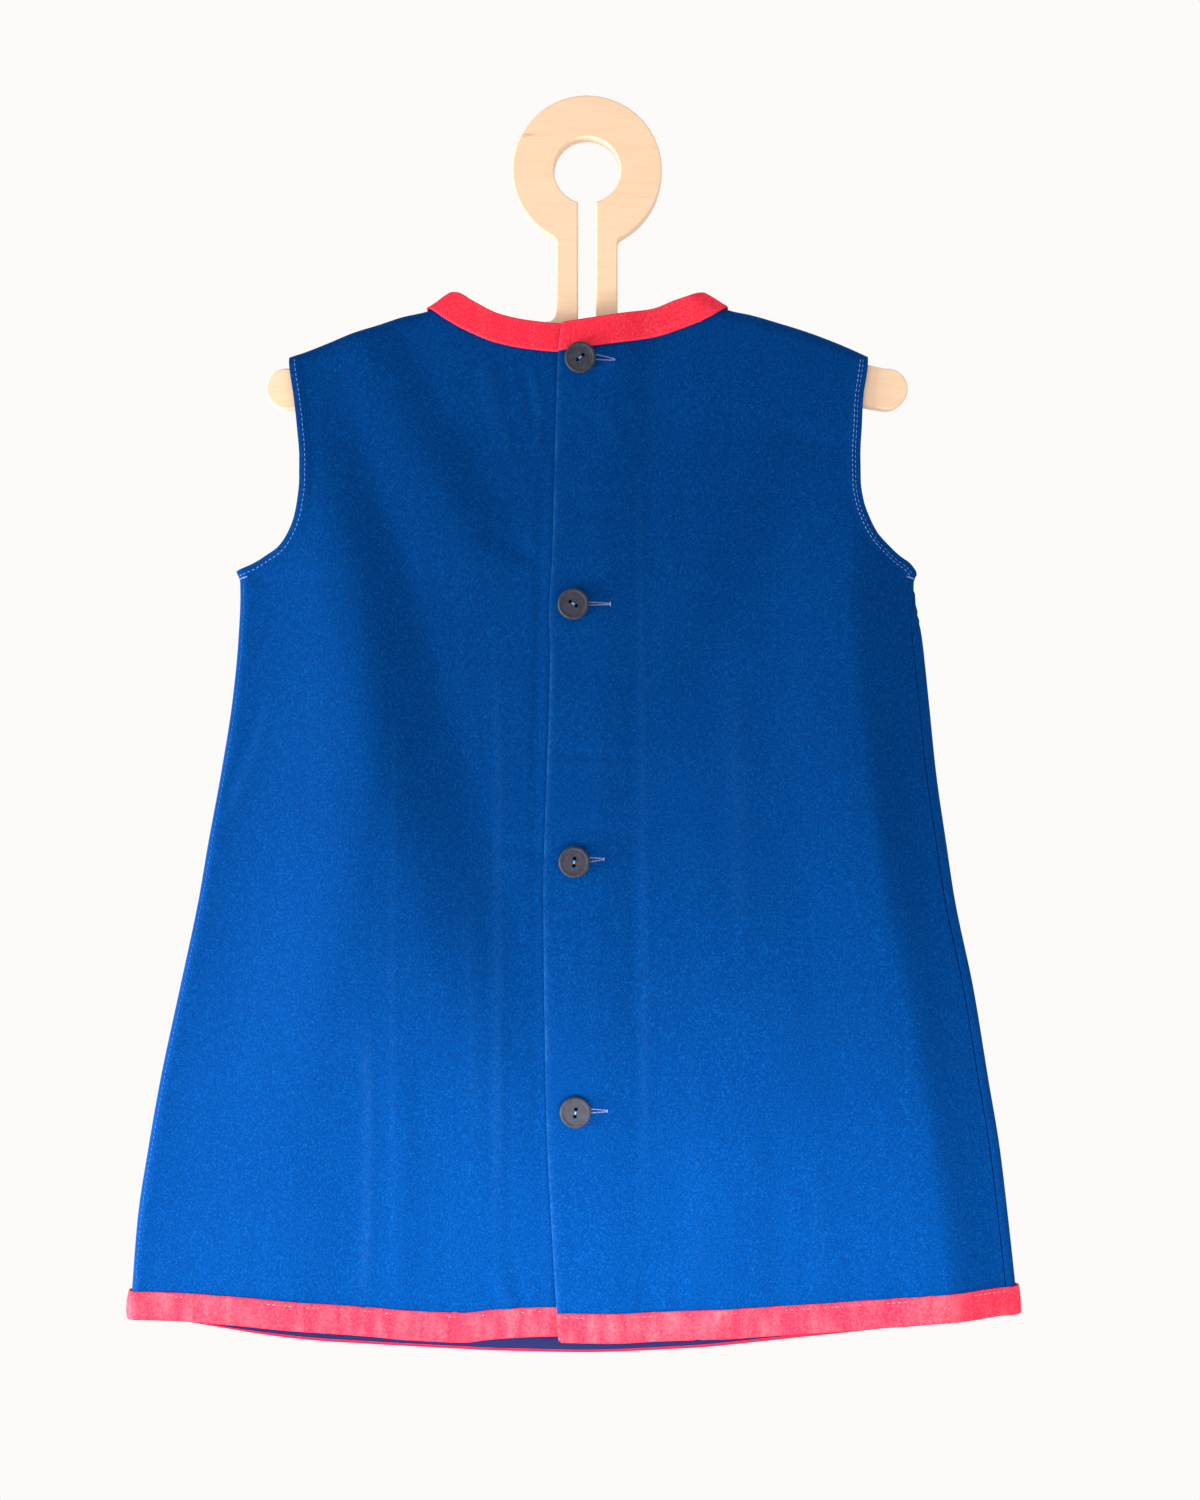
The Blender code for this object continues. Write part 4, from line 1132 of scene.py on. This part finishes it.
def button_thread():
    """The thread across each button's two holes."""
    form = bmesh.new()
    for number, button in enumerate(BUTTONS, start=1):
        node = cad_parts[f"button_{number}"]
        marks = [vert.co / MM for vert in node.data.vertices]
        middle = sum(marks, Vector()) / len(marks)
        rim = sorted(marks, key=lambda mark: (mark - middle).length)[-RIM_MARKS:]
        outward = Vector((0, -1, 0))
        tilt = Vector((0, 0, 0))
        for mark in rim:
            tilt += (mark - middle).cross(rim[0] - middle)
        if tilt.length > 1:
            outward = tilt.normalized() * (-1 if tilt.y > 0 else 1)
        sideways = Vector((0, 0, 1)).cross(outward).normalized()
        upright = outward.cross(sideways)
        spin = math.radians(button.turn)
        along = sideways * math.cos(spin) + upright * math.sin(spin)
        beside = outward.cross(along)
        for shift in (-0.3, 0.1):
            stitch(form, middle + outward * 0.95 + beside * shift, along, outward, 2, 0.4)
    return finished("button_thread", form, "button_cord")


# Each sewing thread's two tones, and the cloth that it belongs to
Thread = namedtuple("Thread", "colour dark cloth")
THREADS = {
    "pale_thread": Thread((0.30, 0.45, 0.80, 1), (0.14, 0.27, 0.62, 1), "navy_twill"),
    "buttonhole_thread": Thread((0.26, 0.30, 0.52, 1), (0.14, 0.19, 0.42, 1), "navy_twill"),
    "blue_thread": Thread((0.03, 0.15, 0.48, 1), (0.01, 0.09, 0.32, 1), "navy_twill"),
    "pink_thread": Thread((0.98, 0.42, 0.46, 1), (0.93, 0.25, 0.30, 1), "red_cotton"),
    "red_thread": Thread((0.90, 0.045, 0.090, 1), (0.75, 0.020, 0.050, 1), "red_cotton"),
    "button_cord": Thread((0.20, 0.45, 0.85, 1), (0.12, 0.32, 0.72, 1), "navy_twill"),
}
SLOTS = {name: name for name in WEAVES}
SLOTS.update({name: thread.cloth for name, thread in THREADS.items()})
materials = {name: woven(name) for name in WEAVES}
materials.update({name: spun(name, thread) for name, thread in THREADS.items()})
materials.update(birch_plywood=birch(), black_plastic=button_plastic())

back_left = back_left_panel()
back_right = back_right_panel()
front = front_panel()
cloth = {
    "back_left": panel_piece("dress_back_left", back_left, 1),
    "back_right": panel_piece("dress_back_right", back_right, 1),
    "front": panel_piece("dress_front", front, 2),
    "neck_band": neck_band(),
    "hem_band": hem_band(back_left, front, back_right),
}
for node, piece in cloth.items():
    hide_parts(node)

sewn = {
    "back_left": [
        stitched("armhole_stitches_left", [
            (armhole_row(LEFT, -1, 2.9), 1.7, 0.8, 0.26)], "pale_thread"),
        stitched("side_stitches_left", [
            (side_row(LEFT, -1, 2.6, 222, 574), 2, 0.8, 0.26)], "blue_thread"),
    ],
    "back_right": [
        stitched("armhole_stitches_right", [
            (armhole_row(RIGHT, 1, 4.4), 1.7, 0.8, 0.30),
            (armhole_row(RIGHT, 1, 3), 1.7, 0.8, 0.18)], "pale_thread"),
        buttonholes(),
        button_thread(),
    ],
    "front": [
        stitched("armhole_stitches_front", [
            (armhole_row(FRONT, side, 2.4), 1.5, 0.9, 0.26) for side in (-1, 1)],
            "pale_thread"),
        bar_tacks(),
    ],
    "neck_band": [
        stitched("neck_band_stitches", [
            (neck_row(*stretch), 2, 0.7, 0.24) for stretch in (
                (LEFT, NECK_LEFT, -1), (RIGHT, NECK_RIGHT, 1),
                (FRONT, NECK_FRONT, -1), (FRONT, NECK_FRONT, 1))], "red_thread"),
    ],
    "hem_band": [
        stitched("hem_band_stitches", [
            (hem_row(panel), 1.9, 0.9, 0.26) for panel in (back_left, front, back_right)],
            "pink_thread"),
    ],
}

# The cut of each piece: width, height and flat area, in metres
Cut = namedtuple("Cut", "node width height area rests_on")
CUTS = [
    Cut("back_left", 0.246, 0.519, 0.0985, "hanger"),
    Cut("back_right", 0.236, 0.519, 0.0975, "hanger"),
    Cut("front", 0.452, 0.530, 0.1875, "hanger"),
    Cut("neck_band", 0.0135, 0.385, 0.0051, "dress_back_left"),
    Cut("hem_band", 0.0135, 0.935, 0.0126, "dress_front"),
]
for cut in CUTS:
    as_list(sewn[cut.node])

for node, look in (("hanger", "birch_plywood"), *((f"button_{n}", "black_plastic")
                                                  for n in range(1, 5))):
    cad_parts[node].data.materials[0] = materials[look]


def floor():
    """A plain pale floor, well below the hanging dress."""
    form = bmesh.new()
    bmesh.ops.create_grid(form, x_segments=1, y_segments=1, size=1.6)
    bmesh.ops.translate(form, vec=(0.0, 0.0, -1.35), verts=form.verts)
    made = coated(blank("floor")[0], {"Base Color": (0.90, 0.86, 0.82, 1), "Roughness": 0.9})
    formed("floor", form, made)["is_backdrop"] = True


def area_light(lamp):
    """A soft oblong light that faces a target."""
    light = bpy.data.lights.new(lamp.name, "AREA")
    light.shape = "RECTANGLE"
    light.size, light.size_y = lamp.wide, lamp.high
    light.energy = lamp.watts
    light.color = WHITE
    thing = linked(lamp.name, light)
    thing.location = lamp.place
    aim = Vector(lamp.target) - Vector(lamp.place)
    thing.rotation_euler = aim.to_track_quat("-Z", "Y").to_euler()


def studio():
    """Soft light: bright behind, dimmer in front, and two soft lamps from below."""
    world = bpy.data.worlds.new("studio")
    world.use_nodes = True
    tree = world.node_tree
    depth = add(tree, "SeparateXYZ", "Y", {0: add(tree, "TexCoord", "Generated")})
    behind = add(tree, "MapRange", "Result", {
        "Value": depth, "From Min": -0.1, "From Max": 0.5, "To Min": DIM, "To Max": BRIGHT})
    sky = tree.nodes["Background"]
    give(sky.inputs["Color"], (1.0, 0.985, 0.965, 1))
    give(sky.inputs["Strength"], behind)
    bpy.context.scene.world = world
    for lamp in LAMPS:
        area_light(lamp)
    camera = bpy.data.cameras.new("camera")
    camera.lens = 50.0
    camera.sensor_width = 36.0
    camera.clip_start = 0.01
    thing = linked("camera", camera)
    thing.location = (0.0065, -1.0457, -0.3063)
    thing.rotation_euler = (math.radians(90.0), 0.0, 0.0)
    bpy.context.scene.camera = thing
    bpy.context.scene.view_settings.view_transform = "Standard"


# How bright the surroundings are in front of the dress and behind it
DIM = 0.85
BRIGHT = 0.975
WHITE = (1.0, 0.99, 0.975)
Lamp = namedtuple("Lamp", "name place target wide high watts")
LAMPS = [
    Lamp("window", (-0.80, -0.19, -0.57), (0.0, 0.0, -0.41), 0.30, 0.30, 14.5),
    Lamp("low_lamp", (0.02, -0.22, -0.57), (0.02, 0.0, -0.60), 0.40, 0.08, 1.4),
]

floor()
studio()

boxes = {"cad": cad_box, "visual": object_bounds()}
str({key: [list(map(float, corner)) for corner in box]
                  for key, box in boxes.items()}).replace("'", '"')
